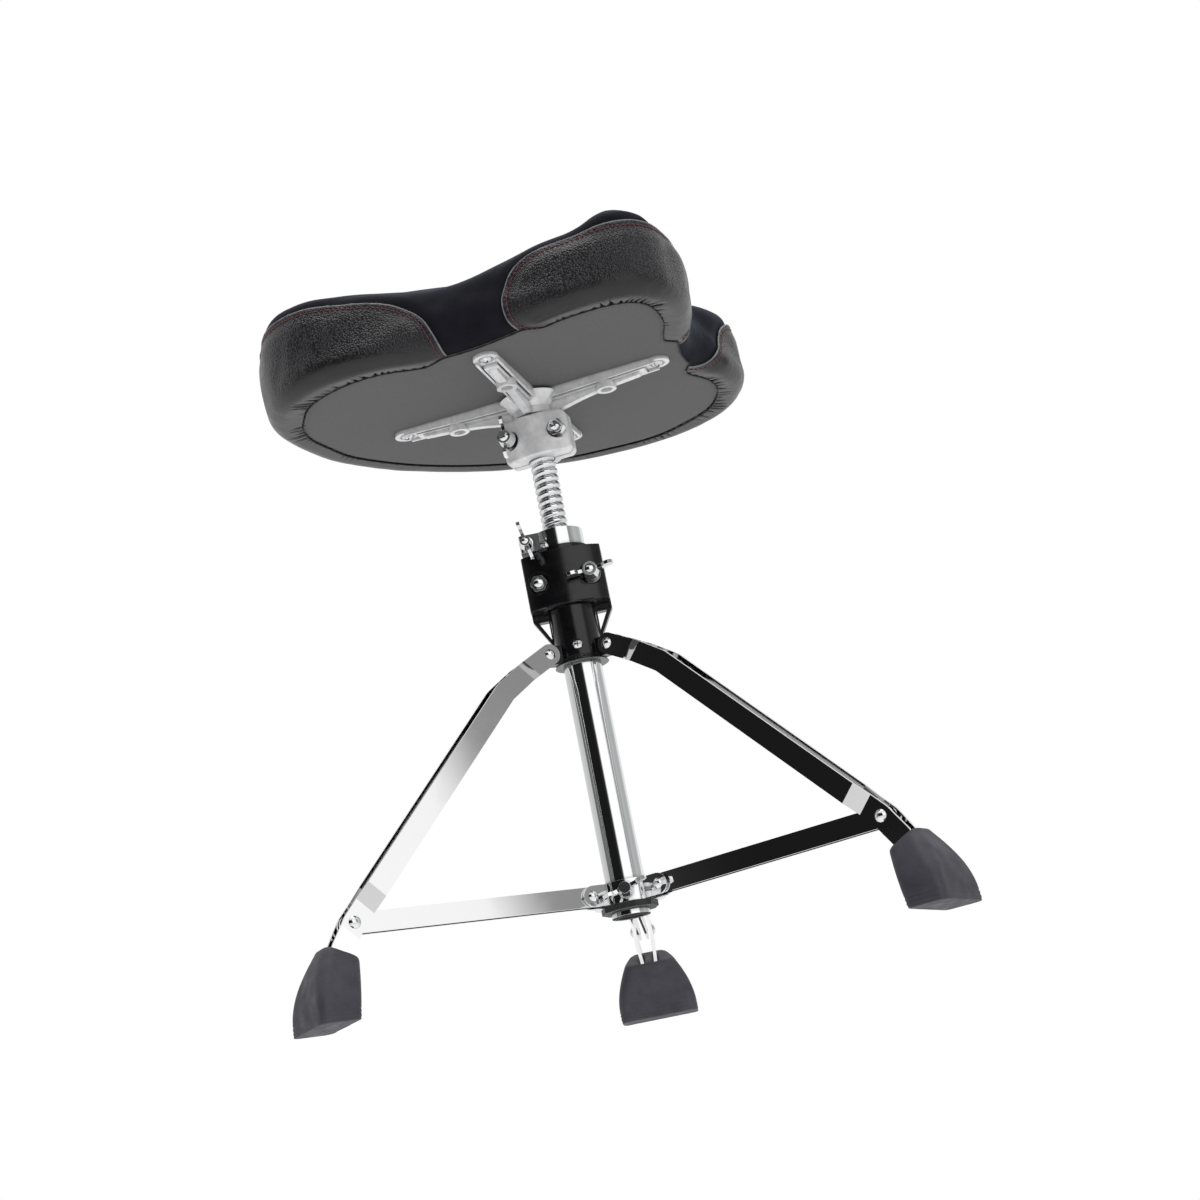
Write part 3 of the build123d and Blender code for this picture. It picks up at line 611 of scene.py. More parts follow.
fine = periodic_spline(cover_controls(), np.linspace(0, 1, 8001)[:-1])
fine = np.vstack([fine, fine[0]])
fine_s = np.concatenate([[0], np.cumsum(step_lengths(fine))])
LEN = fine_s[-1]
outline_s = np.linspace(0, LEN, OUTLINE_STEPS + 1)[:-1]
OUTLINE = np.stack([np.interp(outline_s, fine_s, fine[:, axis]) for axis in (0, 1)], 1)
tangent = smooth_ring(step_across(OUTLINE, 1), 6)
tangent /= np.linalg.norm(tangent, axis=1)[:, None]
OUTWARD = np.stack([tangent[:, 1], -tangent[:, 0]], 1)
CURVATURE = (smooth_ring(np.linalg.norm(step_across(tangent, 8), axis=1), 8)
             / (16 * LEN / OUTLINE_STEPS))


def ring(values, s):
    """Value of an outline array at arc position s (0 at the nose tip, growing towards +x)."""
    x = np.mod(np.asarray(s, float), LEN) / LEN * OUTLINE_STEPS
    i = np.floor(x).astype(int) % OUTLINE_STEPS
    f = x - np.floor(x)
    if values.ndim == 2:
        f = f[..., None]
    return values[i] * (1 - f) + values[(i + 1) % OUTLINE_STEPS] * f


def signed(s):
    """Arc position as a signed distance from the nose tip."""
    s = np.mod(np.asarray(s, float), LEN)
    return np.where(s > LEN / 2, s - LEN, s)


# ---------------------------------------------------------------- seat side profile
# rim height: (signed arc position, z)
RIM_STATIONS = [
    (-622.4, 594), (-520, 596), (-430, 599), (-370, 598), (-330, 595), (-295, 590.5),
    (-263, 585), (-225, 580.5), (-189, 578), (-167, 578), (-134, 579.5), (-95, 579.5),
    (-62, 577.5), (-46, 578), (-36, 584.5), (-26, 589.5), (-10, 590.5), (6, 590), (24, 588.5),
    (42, 586), (60, 583.5), (95, 581), (134, 580), (167, 578), (189, 578), (225, 580.5),
    (263, 585), (295, 587), (330, 588), (370, 592), (430, 597), (520, 596), (622.4, 594)]
RIM = smooth_ring(np.interp(signed(outline_s), *zip(*RIM_STATIONS)), 7)
UNDER_Z = 511.2             # underside of the cushion
R_BOTTOM, R_TOP = 9.0, 19.0     # roundings of the lower and upper edge
FOLD = 16.0                 # flat width turned in under the cushion
BOTTOM_ARC = R_BOTTOM * math.pi / 2
TOP_ARC = R_TOP * math.pi / 2
WALL_Z = UNDER_Z + R_BOTTOM     # foot of the upright wall
LEAN = 2.2                  # inward lean at the rim


def bulge(s):
    """Outward swell of the wall at mid height."""
    g = signed(s)
    plus_x = smoothstep(30, 62, g) * (1 - smoothstep(120, 165, g))
    minus_x = smoothstep(-165, -120, g) * (1 - smoothstep(-62, -30, g))
    return 2.2 + 4.6 * plus_x + 1.5 * minus_x


def flare(s, k):
    """Extra width of the rear flanks at height fraction k."""
    g = signed(s)
    minus_x = (1 - smoothstep(-300, -250, g)) * smoothstep(-440, -380, g)
    plus_x = smoothstep(240, 290, g) * (1 - smoothstep(360, 420, g))
    return minus_x * (4.4 + 5.0 * k) + plus_x * 4.6


def profile(s, h):
    """(distance inward from the cover line, z) at path length h from the fold's inner end."""
    rim = ring(RIM, s)
    wall = rim - R_TOP - WALL_Z
    low_angle = (h - FOLD) / R_BOTTOM
    up = h - FOLD - BOTTOM_ARC
    top_angle = np.clip((up - wall) / R_TOP, 0, math.pi / 2)
    stages = [h < FOLD, h < FOLD + BOTTOM_ARC, up < wall]
    inward = np.select(stages, [R_BOTTOM + (FOLD - h), R_BOTTOM * (1 - np.sin(low_angle)), 0.0],
                       R_TOP * (1 - np.cos(top_angle)))
    z = np.select(stages, [UNDER_Z, WALL_Z - R_BOTTOM * np.cos(low_angle), WALL_Z + up],
                  rim - R_TOP + R_TOP * np.sin(top_angle))
    k = np.clip((z - UNDER_Z) / (rim - UNDER_Z), 0, 1)
    inward = inward - bulge(s) * np.sin(np.pi * k) * (z > UNDER_Z) + LEAN * k ** 2
    return inward - flare(s, k) * smoothstep(0, 14, h), z


def path_length(s, z):
    """Path length at which the plain wall or upper rounding reaches height z."""
    rim = ring(RIM, s)
    if z > rim - R_TOP:
        return float(FOLD + BOTTOM_ARC + (rim - R_TOP - WALL_Z)
                     + R_TOP * np.arcsin(np.clip((z - (rim - R_TOP)) / R_TOP, 0, 1)))
    return float(FOLD + BOTTOM_ARC + (z - WALL_Z))


def place(s, inward, z):
    xy = ring(OUTLINE, s) - ring(OUTWARD, s) * np.asarray(inward)[..., None]
    return np.concatenate([xy, np.asarray(z)[..., None]], -1)


# ---------------------------------------------------------------- cushion body
CUSHION_SIDES = 312
TOP_RINGS = 15              # steps from the rim to the ridge
RIDGE_REACH = 0.72          # ridge y as a fraction of the rim's y
RIDGE_Y = (-118, 62)
RIDGE_Z, RIDGE_RISE = 590.5, 4.0
TOP_CROWN = 2.0


def cushion_base():
    """Closed shell of the cushion, domed up to a ridge along x = 0."""
    n = CUSHION_SIDES
    s = np.linspace(0, LEN, n + 1)[:-1]
    wall = ring(RIM, s) - R_TOP - WALL_Z
    heights = [np.full(n, h) for h in np.linspace(0, FOLD, 4)[:-1]]
    heights += [np.full(n, FOLD + h) for h in np.linspace(0, BOTTOM_ARC, 6)[:-1]]
    heights += [FOLD + BOTTOM_ARC + t * wall for t in np.linspace(0, 1, 13)[:-1]]
    heights += [FOLD + BOTTOM_ARC + wall + t * TOP_ARC * 0.999 for t in np.linspace(0, 1, 9)]
    rings = [place(s, *profile(s, h)) for h in heights]

    edge = rings[-1]
    ridge_y = np.clip(edge[:, 1] * RIDGE_REACH, *RIDGE_Y)
    ridge_z = RIDGE_Z + RIDGE_RISE * smoothstep(-120, 20, ridge_y)
    ridge = np.stack([np.zeros(n), ridge_y, ridge_z], 1)
    for t in np.linspace(0, 1, TOP_RINGS)[1:-1]:
        points = edge * (1 - t) + ridge * t
        w = smoothstep(0, 0.85, t)
        points[:, 2] = (edge[:, 2] * (1 - w) + ridge_z * w
                        + TOP_CROWN * math.sin(math.pi * t))
        rings.append(points)
    rings.append(ridge)

    verts = list(np.concatenate(rings) * MM)
    faces = ring_quads(len(rings), n)
    centre = len(verts)
    verts.append((0.0, 0.0, UNDER_Z * MM))
    faces += [(centre, (j + 1) % n, j) for j in range(n)]
    ob = new_mesh("cushion_work", verts, faces, None)
    bm = bmesh.new()
    bm.from_mesh(ob.data)
    bmesh.ops.remove_doubles(bm, verts=bm.verts, dist=0.00015)
    bmesh.ops.recalc_face_normals(bm, faces=bm.faces)
    bm.to_mesh(ob.data)
    bm.free()
    return ob


PIN_Z = 0.5165              # fully pinned below this height, metres
PIN_FADE = 0.02
MAX_MOVE = 0.0045           # limit on how far the inflation moves a point, metres
LAST_FRAME = 20


def inflate(ob):
    """Blow the cushion up a little as pressurised cloth, held at its underside."""
    rest = get_points(ob.data)
    pin = ob.vertex_groups.new(name="pin")
    for i, z in enumerate(rest[:, 2]):
        if z < PIN_Z:
            pin.add([i], 1.0, "REPLACE")
        else:
            weight = float(np.clip(1 - (z - PIN_Z) / PIN_FADE, 0, 1)) * 0.6
            if weight > 0:
                pin.add([i], weight, "REPLACE")
    cloth = ob.modifiers.new("cloth", "CLOTH")
    settings = cloth.settings
    settings.quality = 4
    settings.mass = 0.4
    settings.tension_stiffness = 30
    settings.compression_stiffness = 30
    settings.shear_stiffness = 12
    settings.bending_stiffness = 1.5
    settings.use_pressure = True
    settings.uniform_pressure_force = 4.0
    settings.effector_weights.gravity = 0.0
    settings.vertex_group_mass = "pin"
    cloth.collision_settings.use_collision = False
    cloth.collision_settings.use_self_collision = False
    cloth.point_cache.frame_start, cloth.point_cache.frame_end = 1, LAST_FRAME
    scene.frame_start, scene.frame_end = 1, LAST_FRAME
    for number in range(1, LAST_FRAME + 1):
        scene.frame_set(number)
        bpy.context.view_layer.update()
    apply_modifiers(ob)
    scene.frame_set(1)
    move = get_points(ob.data) - rest
    length = np.linalg.norm(move, axis=1)
    move *= (MAX_MOVE * np.tanh(length / MAX_MOVE) / np.maximum(length, 1e-9))[:, None]
    set_points(ob.data, rest + move)


def build_cushion():
    ob = cushion_base()
    remesh = ob.modifiers.new("remesh", "REMESH")
    remesh.mode = "VOXEL"
    remesh.voxel_size = 0.0055
    apply_modifiers(ob)
    inflate(ob)
    smooth = ob.modifiers.new("smooth", "SMOOTH")
    smooth.factor = 0.5
    smooth.iterations = 4
    subdivide = ob.modifiers.new("sub", "SUBSURF")
    subdivide.levels = subdivide.render_levels = 1
    apply_modifiers(ob)
    return ob


class Surface:
    """Nearest point and smooth normal on a mesh."""

    def __init__(self, mesh):
        mesh.calc_loop_triangles()
        self.points = get_points(mesh)
        triangles = np.empty(len(mesh.loop_triangles) * 3, dtype=np.int32)
        mesh.loop_triangles.foreach_get("vertices", triangles)
        self.triangles = triangles.reshape(-1, 3)
        a, b, c = (self.points[self.triangles[:, k]] for k in range(3))
        face_normals = np.cross(b - a, c - a)
        normals = np.zeros_like(self.points)
        for k in range(3):
            np.add.at(normals, self.triangles[:, k], face_normals)
        self.normals = unit(normals)
        self.tree = BVHTree.FromPolygons([tuple(v) for v in self.points],
                                         [tuple(int(i) for i in t) for t in self.triangles])

    def near(self, points):
        found = np.empty_like(points)
        normals = np.empty_like(points)
        for i, point in enumerate(points):
            location, _, index, _ = self.tree.find_nearest(Vector(point))
            corners = self.triangles[index]
            a, b, c = self.points[corners]
            q = np.array(location)
            # barycentric weights blend the corner normals
            cross = np.cross(b - a, c - a)
            area = max(float(cross @ cross), 1e-20)
            wa = float(np.cross(c - b, q - b) @ cross) / area
            wb = float(np.cross(a - c, q - c) @ cross) / area
            na, nb, nc = self.normals[corners]
            normal = wa * na + wb * nb + (1 - wa - wb) * nc
            found[i] = q
            normals[i] = normal / max(np.linalg.norm(normal), 1e-9)
        return found, normals


cover = build_cushion()
SURFACE = Surface(cover.data)


# ---------------------------------------------------------------- seams in (s, h)
def round_corners(points, times):
    """Chaikin corner cutting of an open line."""
    for _ in range(times):
        cut = [points[0]]
        for a, b in zip(points[:-1], points[1:]):
            cut += [a * 0.75 + b * 0.25, a * 0.25 + b * 0.75]
        cut.append(points[-1])
        points = np.array(cut)
    return points


def resample(points, step):
    length = np.concatenate([[0], np.cumsum(step_lengths(points))])
    n = max(2, int(round(length[-1] / step)))
    t = np.linspace(0, length[-1], n + 1)
    return np.stack([np.interp(t, length, points[:, k]) for k in (0, 1)], 1)


def seam_line(start, wall, end):
    """Seam from low points (s, h), wall points (s, z) and low points (s, h)."""
    points = start + [(s, path_length(s, z)) for s, z in wall] + end
    return resample(round_corners(np.asarray(points, float), 3), SEAM_STEP)


SEAM_STEP = 1.6
NOSE_SEAM = seam_line(
    [(-104, 4.0), (-113, 13.0)],
    [(-117, 514), (-119.5, 521), (-118.5, 536), (-113, 552), (-102.5, 562), (-86, 567.5),
     (-60, 568.8), (-30, 570.5), (-5, 572.5), (21, 572.5), (46, 571.5), (72, 571), (98, 568),
     (116, 562), (129, 551), (137, 536), (139, 521), (137, 514)],
    [(133, 13.0), (124, 4.0)])
REAR_SEAM = seam_line(
    [(176, 4.0), (186, 11.0), (197, 19.0)],
    [(209, 518), (219, 528), (228, 541), (239, 554), (256, 564), (282, 571), (320, 577),
     (370, 580), (450, 582), (LEN / 2, 581), (LEN - 450, 582), (LEN - 370, 581),
     (LEN - 320, 579.5), (LEN - 295, 578), (LEN - 264, 574), (LEN - 238, 568.8),
     (LEN - 211, 561.5), (LEN - 193, 546), (LEN - 185, 528), (LEN - 182, 518)],
    [(LEN - 178, 13.0), (LEN - 170, 4.0)])


def seam_distance(points, seam):
    return nearest_distance(points, resample(seam, 0.4))


def offset_curve(seam, distance):
    """Seam moved into its panel, in (s, h)."""
    along = np.gradient(seam, axis=0)
    along /= np.maximum(np.linalg.norm(along, axis=1), 1e-9)[:, None]
    return seam + np.stack([along[:, 1], -along[:, 0]], 1) * distance


def to_surface(sh):
    return SURFACE.near(place(sh[:, 0], *profile(sh[:, 0], sh[:, 1])) * MM)


def cloth_inset(s):
    """Distance from the cover line in to the grey cloth's edge; wider under the panels."""
    g = signed(s)
    under_nose = smoothstep(-114, -98, g) * (1 - smoothstep(117, 131, g))
    under_rear = smoothstep(179, 199, np.abs(g))
    return 8.4 + 12.0 * np.maximum(under_nose, under_rear)


def cloth_edge_h(s):
    """Path length at which the grey cloth ends."""
    return FOLD + R_BOTTOM - cloth_inset(s)


# ---------------------------------------------------------------- vinyl panels
PANEL_H0 = 1.5              # lower edge of the panels, as path length
FINE_TOP = 19.2             # the mesh is finer up to here, for the pleats
PLEAT_PITCH = 8.8


def staggered_grid(s_range, s_step, h_range, h_step, shift):
    """Grid in (s, h) with every other row shifted along s."""
    grid = np.stack(np.meshgrid(np.arange(*s_range, s_step), np.arange(*h_range, h_step),
                                indexing="ij"), -1).reshape(-1, 2)
    grid[:, 0] += (np.round((grid[:, 1] - PANEL_H0) / h_step).astype(int) % 2) * shift
    return grid


def panel_mesh(seam):
    """Constrained triangulation of the area between a seam and the panel's lower edge."""
    s0, s1 = seam[0, 0], seam[-1, 0]
    n = int(abs(s1 - s0) / SEAM_STEP) + 1
    bottom = np.stack([np.linspace(s1, s0, n), np.full(n, PANEL_H0)], 1)
    loop = np.concatenate([seam, bottom])
    keep = [0]
    for i in range(1, len(loop)):
        if np.linalg.norm(loop[i] - loop[keep[-1]]) > 0.4:
            keep.append(i)
    loop = loop[keep]
    s_min, s_max = loop[:, 0].min(), loop[:, 0].max()
    grid = np.concatenate([
        staggered_grid((s_min + 0.4, s_max), 0.85, (PANEL_H0 + 1.0, FINE_TOP), 1.15, 0.42),
        staggered_grid((s_min + 0.8, s_max), 1.6, (20.0, loop[:, 1].max()), 1.7, 0.8)])

    # even-odd test against every edge of the loop
    inside = np.zeros(len(grid), bool)
    for a, b in zip(loop, np.roll(loop, -1, axis=0)):
        crosses = (a[1] > grid[:, 1]) != (b[1] > grid[:, 1])
        if crosses.any():
            x = a[0] + (grid[:, 1] - a[1]) / (b[1] - a[1] + 1e-12) * (b[0] - a[0])
            inside ^= crosses & (grid[:, 0] < x)
    grid = grid[inside]
    grid = grid[nearest_distance(grid, loop) > 0.6]
    points = [Vector(p) for p in np.concatenate([loop, grid])]
    n = len(loop)
    edges = [(i, (i + 1) % n) for i in range(n)]
    verts, _, faces, _, _, _ = geometry.delaunay_2d_cdt(points, edges, [], 1, 1e-5)
    return np.array([tuple(v) for v in verts]), [tuple(f) for f in faces]


def pleats(s, h):
    """Gathers under the rim as (swell, gap), deeper and longer where the outline turns; gap also
    masks the painted shade in the vinyl's pleat gaps.
    """
    turn = np.clip((ring(CURVATURE, s) - 0.004) / 0.008, 0.0, 1.0)
    depth = 0.10 + 0.90 * turn
    depth = depth * (0.74 + 0.26 * np.sin(s * 0.173 + 0.7) * np.sin(s * 0.071))
    # uneven spacing, and pleats that wander as they rise
    wobble = (3.4 * np.sin(s * 0.061) + 2.4 * np.sin(s * 0.023 + 1.3)
              + 1.5 * np.sin(s * 0.19 + 2.0) + (h - 6) * 0.18 * np.sin(s * 0.11))
    wave = np.cos(2 * math.pi * (s + wobble) / PLEAT_PITCH)
    cell = np.floor((s + wobble) / PLEAT_PITCH + 0.5)
    reach = (10.0 + 9.0 * turn) * (0.8 + 0.35 * np.sin(cell * 2.7) * np.sin(cell * 1.3 + 0.5))
    gap = np.exp(-((wave + 1.0) / 0.40) ** 2) * (1 - smoothstep(0.55, 1.0, h / reach)) * depth
    swell = np.clip(wave, -0.3, 1.0) * (1 - smoothstep(0.3, 1.15, h / reach)) * depth
    return swell, gap


def panel_lift(s, h, from_seam, swell, gap):
    """Height of the panel's outer face over the cushion."""
    puff = 1.0 * smoothstep(4.5, 16.0, from_seam)
    groove = -0.55 * np.exp(-((from_seam - 4.1) / 0.9) ** 2)      # along the stitches
    edge = 0.55 * np.exp(-((from_seam - 1.2) / 1.3) ** 2)
    pucker = (0.16 * np.cos(2 * math.pi * s / 3.4)
              * np.exp(-((from_seam - 3.4) / 2.2) ** 2))
    wave = 0.45 * np.sin(s * 0.045 + 0.6) * np.sin(h * 0.07 + s * 0.012)
    closing = smoothstep(-0.8, 0.9, from_seam) ** 0.5
    lift = 1.35 + puff + groove + edge + pucker + wave * smoothstep(4, 20, from_seam)
    # thin out towards the grey cloth
    cloth_h = cloth_edge_h(s)
    tuck = smoothstep(cloth_h - 0.5, cloth_h + 16.0, h)
    clear = smoothstep(cloth_h - 0.4, cloth_h + 1.6, h)
    lift = lift * closing * tuck + (0.2 + 0.75 * clear) * (1 - tuck) * closing
    return np.maximum(lift + (0.55 * swell - 1.25 * gap) * clear, -0.25)


def build_panel(name, seam, replaced, nose=False):
    sh, faces = panel_mesh(seam)
    s, h = sh[:, 0], sh[:, 1]
    points, normals = to_surface(sh)
    swell, gap = pleats(s, h)
    lift = panel_lift(s, h, seam_distance(sh, seam), swell, gap)
    outer = points + normals * (lift * MM)[:, None]
    inner = points - normals * (0.35 * MM)
    n = len(sh)
    edges = {(a, b): None for f in faces for a, b in zip(f, f[1:] + f[:1])}
    rim = [(a, b) for a, b in edges if (b, a) not in edges]
    all_faces = faces + [tuple(i + n for i in reversed(f)) for f in faces]
    all_faces += [(b, a, a + n, b + n) for a, b in rim]
    ob = new_mesh(name, np.concatenate([outer, inner]), all_faces, MATS["vinyl"])

    # the grain is pulled flat low down, and on the +x end of the nose panel
    stretch = 1 - smoothstep(24.0, 38.0, h + 2.5 * np.sin(s * 0.05))
    if nose:
        stretch = np.maximum(stretch, 0.85 * smoothstep(84.0, 116.0, signed(s) + 0.12 * h))
    # gap also goes to the vinyl as the mask of its painted pleat shade
    for key, values in (("stretch", stretch), ("gap", gap)):
        attribute = ob.data.attributes.new(key, "FLOAT", "POINT")
        attribute.data.foreach_set("value", np.concatenate([values, values]))
    add_to_seat(ob)
    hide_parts(replaced)


build_panel("nose_panel_vinyl", NOSE_SEAM, "nose_side_panel", nose=True)
build_panel("rear_panel_vinyl", REAR_SEAM, "rear_side_panel")


# ---------------------------------------------------------------- piping and stitches
def tube_along(path, normals, radius, sides):
    """Capped tube swept along a path, as verts and faces."""
    n = len(path)
    along = unit(np.gradient(path, axis=0))
    out = unit(normals - (normals * along).sum(1)[:, None] * along)
    across = np.cross(along, out)
    radii = np.broadcast_to(radius, (n,))
    verts = []
    for i in range(n):
        for k in range(sides):
            a = 2 * math.pi * k / sides
            verts.append(path[i] + (out[i] * math.cos(a) + across[i] * math.sin(a)) * radii[i])
    faces = ring_quads(n, sides)
    faces.append(tuple(range(sides))[::-1])
    faces.append(tuple((n - 1) * sides + k for k in range(sides)))
    return verts, faces


def build_piping(name, seam):
    path = resample(offset_curve(seam, -0.1), 1.5)
    path = path[path[:, 1] > cloth_edge_h(path[:, 0]) + 0.3]
    points, normals = to_surface(path)
    verts, faces = tube_along(points + normals * 0.75 * MM, normals, radius=0.85 * MM, sides=8)
    add_to_seat(new_mesh(name, verts, faces, MATS["piping_edge_and_sheen"]))


STITCH_INSET = 4.2          # from the seam
STITCH_PITCH, STITCH_LENGTH = 4.3, 3.2
STITCH_LIFT, STITCH_ARCH = 1.45, 0.75   # height of the middle, and its rise over the ends
STITCH_POINTS = 7


def build_stitches(name, seam):
    line = resample(offset_curve(resample(seam, 0.8), STITCH_INSET), 0.5)
    # the offset folds back at tight corners; keep what stays at the right distance
    line = line[(seam_distance(line, seam) > STITCH_INSET - 0.35)
                & (line[:, 1] > cloth_edge_h(line[:, 0]) + 0.8)]
    length = np.concatenate([[0], np.cumsum(step_lengths(line))])
    pieces = []
    start = 2.0
    while start + STITCH_LENGTH < length[-1] - 1.5:
        t = np.linspace(start, start + STITCH_LENGTH, STITCH_POINTS)
        pieces.append(np.stack([np.interp(t, length, line[:, k]) for k in (0, 1)], 1))
        start += STITCH_PITCH
    points, normals = to_surface(np.concatenate(pieces))
    arc = np.sin(np.linspace(0, math.pi, STITCH_POINTS))
    lift = (STITCH_LIFT - STITCH_ARCH + STITCH_ARCH * arc ** 0.5) * MM
    radius = (0.22 + 0.22 * arc ** 0.6) * MM
    verts, faces = [], []
    for i in range(len(pieces)):
        part = slice(i * STITCH_POINTS, (i + 1) * STITCH_POINTS)
        path = points[part] + normals[part] * lift[:, None]
        tube_verts, tube_faces = tube_along(path, normals[part], radius, sides=6)
        first = len(verts)
        verts += tube_verts
        faces += [tuple(x + first for x in face) for face in tube_faces]
    add_to_seat(new_mesh(name, verts, faces, MATS["stitch_thread"]))


build_piping("nose_panel_piping", NOSE_SEAM)
build_piping("rear_panel_piping", REAR_SEAM)
build_stitches("nose_panel_stitching", NOSE_SEAM)
build_stitches("rear_panel_stitching", REAR_SEAM)


# ---------------------------------------------------------------- fabric cover
def finish_cover():
    """Turn the cushion into the cover, drawn down beside the seams as sewn cloth lies."""
    cover.name = "fabric_cover_sewn"
    cover.data.name = "fabric_cover_sewn"
    set_material(cover.data, MATS["microfibre"])
    shade_smooth(cover.data)
    points = SURFACE.points
    seams = np.concatenate([to_surface(resample(seam, 1.2))[0]
                            for seam in (NOSE_SEAM, REAR_SEAM)])
    near = nearest_distance(points, seams) * 1000.0
    pull = 1.5 * np.exp(-(near / 4.5) ** 2) - 0.5 * np.exp(-((near - 11.0) / 5.0) ** 2)
    above_fold = smoothstep(0.512, 0.522, points[:, 2])
    set_points(cover.data, points - SURFACE.normals * (pull * above_fold * MM)[:, None])
    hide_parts("fabric_top_cover", "foam_cushion")
    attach(cover, "seat")


finish_cover()

# ---------------------------------------------------------------- grey cloth under the board
CLOTH_SIDES = 624
# rings as fractions of the way from the edge to the middle
CLOTH_RINGS = [0.0, 0.006, 0.02, 0.06, 0.12, 0.2, 0.3, 0.42, 0.56, 0.7, 0.85]
CLOTH_Z = 511.0
CLOTH_DROP = 0.37           # lower face below CLOTH_Z
CLOTH_RISE = 0.9            # upper face above CLOTH_Z
EDGE_ROLL = 0.55            # upward turn of the lower face at its edge
cloth_s = np.linspace(0, LEN, CLOTH_SIDES + 1)[:-1]


def build_underside_cloth():
    n, count = CLOTH_SIDES, len(CLOTH_RINGS)
    edge = place(cloth_s, cloth_inset(cloth_s), np.zeros(n))[:, :2]
    lower, upper = [], []
    for t in CLOTH_RINGS:
        x, y = (edge * (1 - t)).T
        wrinkle = (0.12 * np.sin(x * 0.05 + 1.0) * np.sin(y * 0.041)
                   + 0.10 * np.sin(x * 0.11 - y * 0.09))
        z = CLOTH_Z - CLOTH_DROP + wrinkle * smoothstep(0.01, 0.2, t)
        z = z + EDGE_ROLL * (1 - smoothstep(0.0, 0.02, t))
        lower.append(np.stack([x, y, z], 1))
        upper.append(np.stack([x, y, np.full(n, CLOTH_Z + CLOTH_RISE)], 1))
    verts = list(np.concatenate(lower + upper) * MM)
    faces = [(a, d, c, b) for a, b, c, d in ring_quads(count, n)]
    faces += ring_quads(count, n, first=count * n)
    for side, z in enumerate((CLOTH_Z - 0.4, CLOTH_Z + CLOTH_RISE)):
        centre = len(verts)
        verts.append((0, 0, z * MM))
        first = (side * count + count - 1) * n
        faces += [(centre, first + j, first + (j + 1) % n) for j in range(n)]
    for j in range(n):
        k = (j + 1) % n
        faces.append((j, k, count * n + k, count * n + j))
    ob = new_mesh("underside_cloth_stapled", verts, faces, MATS["grey_cloth"])
    fix_normals(ob)
    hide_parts("underside_cloth")
    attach(ob, "seat")


def build_tuck_shade():
    """Painted shade: a dark tube along the cloth's edge, where the gap between the tucked cloth
    and the vinyl lies in shade.
    """
    s, sides = cloth_s, 6
    waver = 0.12 * np.sin(s * 0.9) + 0.12 * np.sin(s * 0.37 + 1.0)
    path = place(s, cloth_inset(s) - 0.5 + waver, np.full(len(s), CLOTH_Z - 0.9)) * MM
    radii = (0.62 + 0.16 * np.sin(s * 0.55) * np.sin(s * 0.13)) * MM
    verts = []
    for (x, y, z), (nx, ny), radius in zip(path, ring(OUTWARD, s), radii):
        for k in range(sides):
            a = 2 * math.pi * k / sides
            out = math.cos(a) * radius
            verts.append((x + nx * out, y + ny * out, z + math.sin(a) * radius))
    faces = ring_quads(len(s), sides, closed=True)
    add_to_seat(new_mesh("underside_tuck_shade", verts, faces, MATS["tuck_shade_paint"]))


build_underside_cloth()
build_tuck_shade()

# ---------------------------------------------------------------- floor (metres from here on)
FLOOR_R, FLOOR_SIDES = 14, 96


def build_floor():
    """Disc seen only by camera rays from above, fading into the white backdrop far out."""
    angles = [2 * math.pi * i / FLOOR_SIDES for i in range(FLOOR_SIDES)]
    floor = new_mesh("studio_floor",
                     [(FLOOR_R * math.cos(a), FLOOR_R * math.sin(a), 0) for a in angles],
                     [range(FLOOR_SIDES)], MATS["floor"], smooth=False)
    tree = MATS["floor"].node_tree
    place_info = add_node(tree, "ShaderNodeNewGeometry")
    rays = add_node(tree, "ShaderNodeLightPath")
    clear = add_node(tree, "ShaderNodeBsdfTransparent")
    front = add_node(tree, "ShaderNodeMath", {0: 1.0, 1: place_info.outputs["Backfacing"]},
                     operation="SUBTRACT")
    seen = add_node(tree, "ShaderNodeMath",
                    {0: front.outputs[0], 1: rays.outputs["Is Camera Ray"]},
                    operation="MULTIPLY")
    distance = add_node(tree, "ShaderNodeVectorMath", {0: place_info.outputs["Position"]},
                        operation="LENGTH")
    fade = add_node(tree, "ShaderNodeMapRange", interpolation_type="SMOOTHSTEP", inputs={
        "From Min": 0.55, "From Max": 2.6, "Value": distance.outputs["Value"]})
    white = add_node(tree, "ShaderNodeEmission", {"Color": (1, 1, 1, 1)})
    sweep = add_node(tree, "ShaderNodeMixShader", {
        "Fac": fade.outputs["Result"], 1: tree.nodes["Principled BSDF"].outputs[0],
        2: white.outputs[0]})
    shown = add_node(tree, "ShaderNodeMixShader", {
        "Fac": seen.outputs[0], 1: clear.outputs[0], 2: sweep.outputs[0]})
    tree.links.new(shown.outputs[0], tree.nodes["Material Output"].inputs["Surface"])


build_floor()

# ---------------------------------------------------------------- world
CAM_AZ, CAM_EL, CAM_ROLL = map(math.radians, (-31.01, -15.70, -11.29))
CAM_SIDE = math.radians(-90.0) + CAM_AZ     # direction of the camera about Z
# studio walls: (degrees from the camera's side, + to picture right; brightness)
WALLS = [
    (-180, 0.80), (-124, 0.70), (-91, 0.62), (-86, 0.14), (-74, 0.20), (-62, 0.09),
    (-58.5, 0.012), (-10, 0.012), (1, 0.04), (9, 1.30), (44, 1.30), (52, 1.17), (56.9, 1.13),
    (57.7, 0.30), (70, 0.36), (88, 0.56), (114, 0.48), (132, 0.62), (140, 0.95), (180, 0.80)]
# by height, 0 straight down to 1 straight up: share of plain studio, and its brightness
PLAIN_SHARE = [(0.0, 1.0), (0.47, 1.0), (0.505, 0.0), (0.78, 0.0), (0.88, 1.0), (1.0, 1.0)]
PLAIN_LIGHT = [(0.0, 1.15), (0.30, 0.95), (0.47, 0.80), (0.53, 0.80), (1.0, 1.0)]


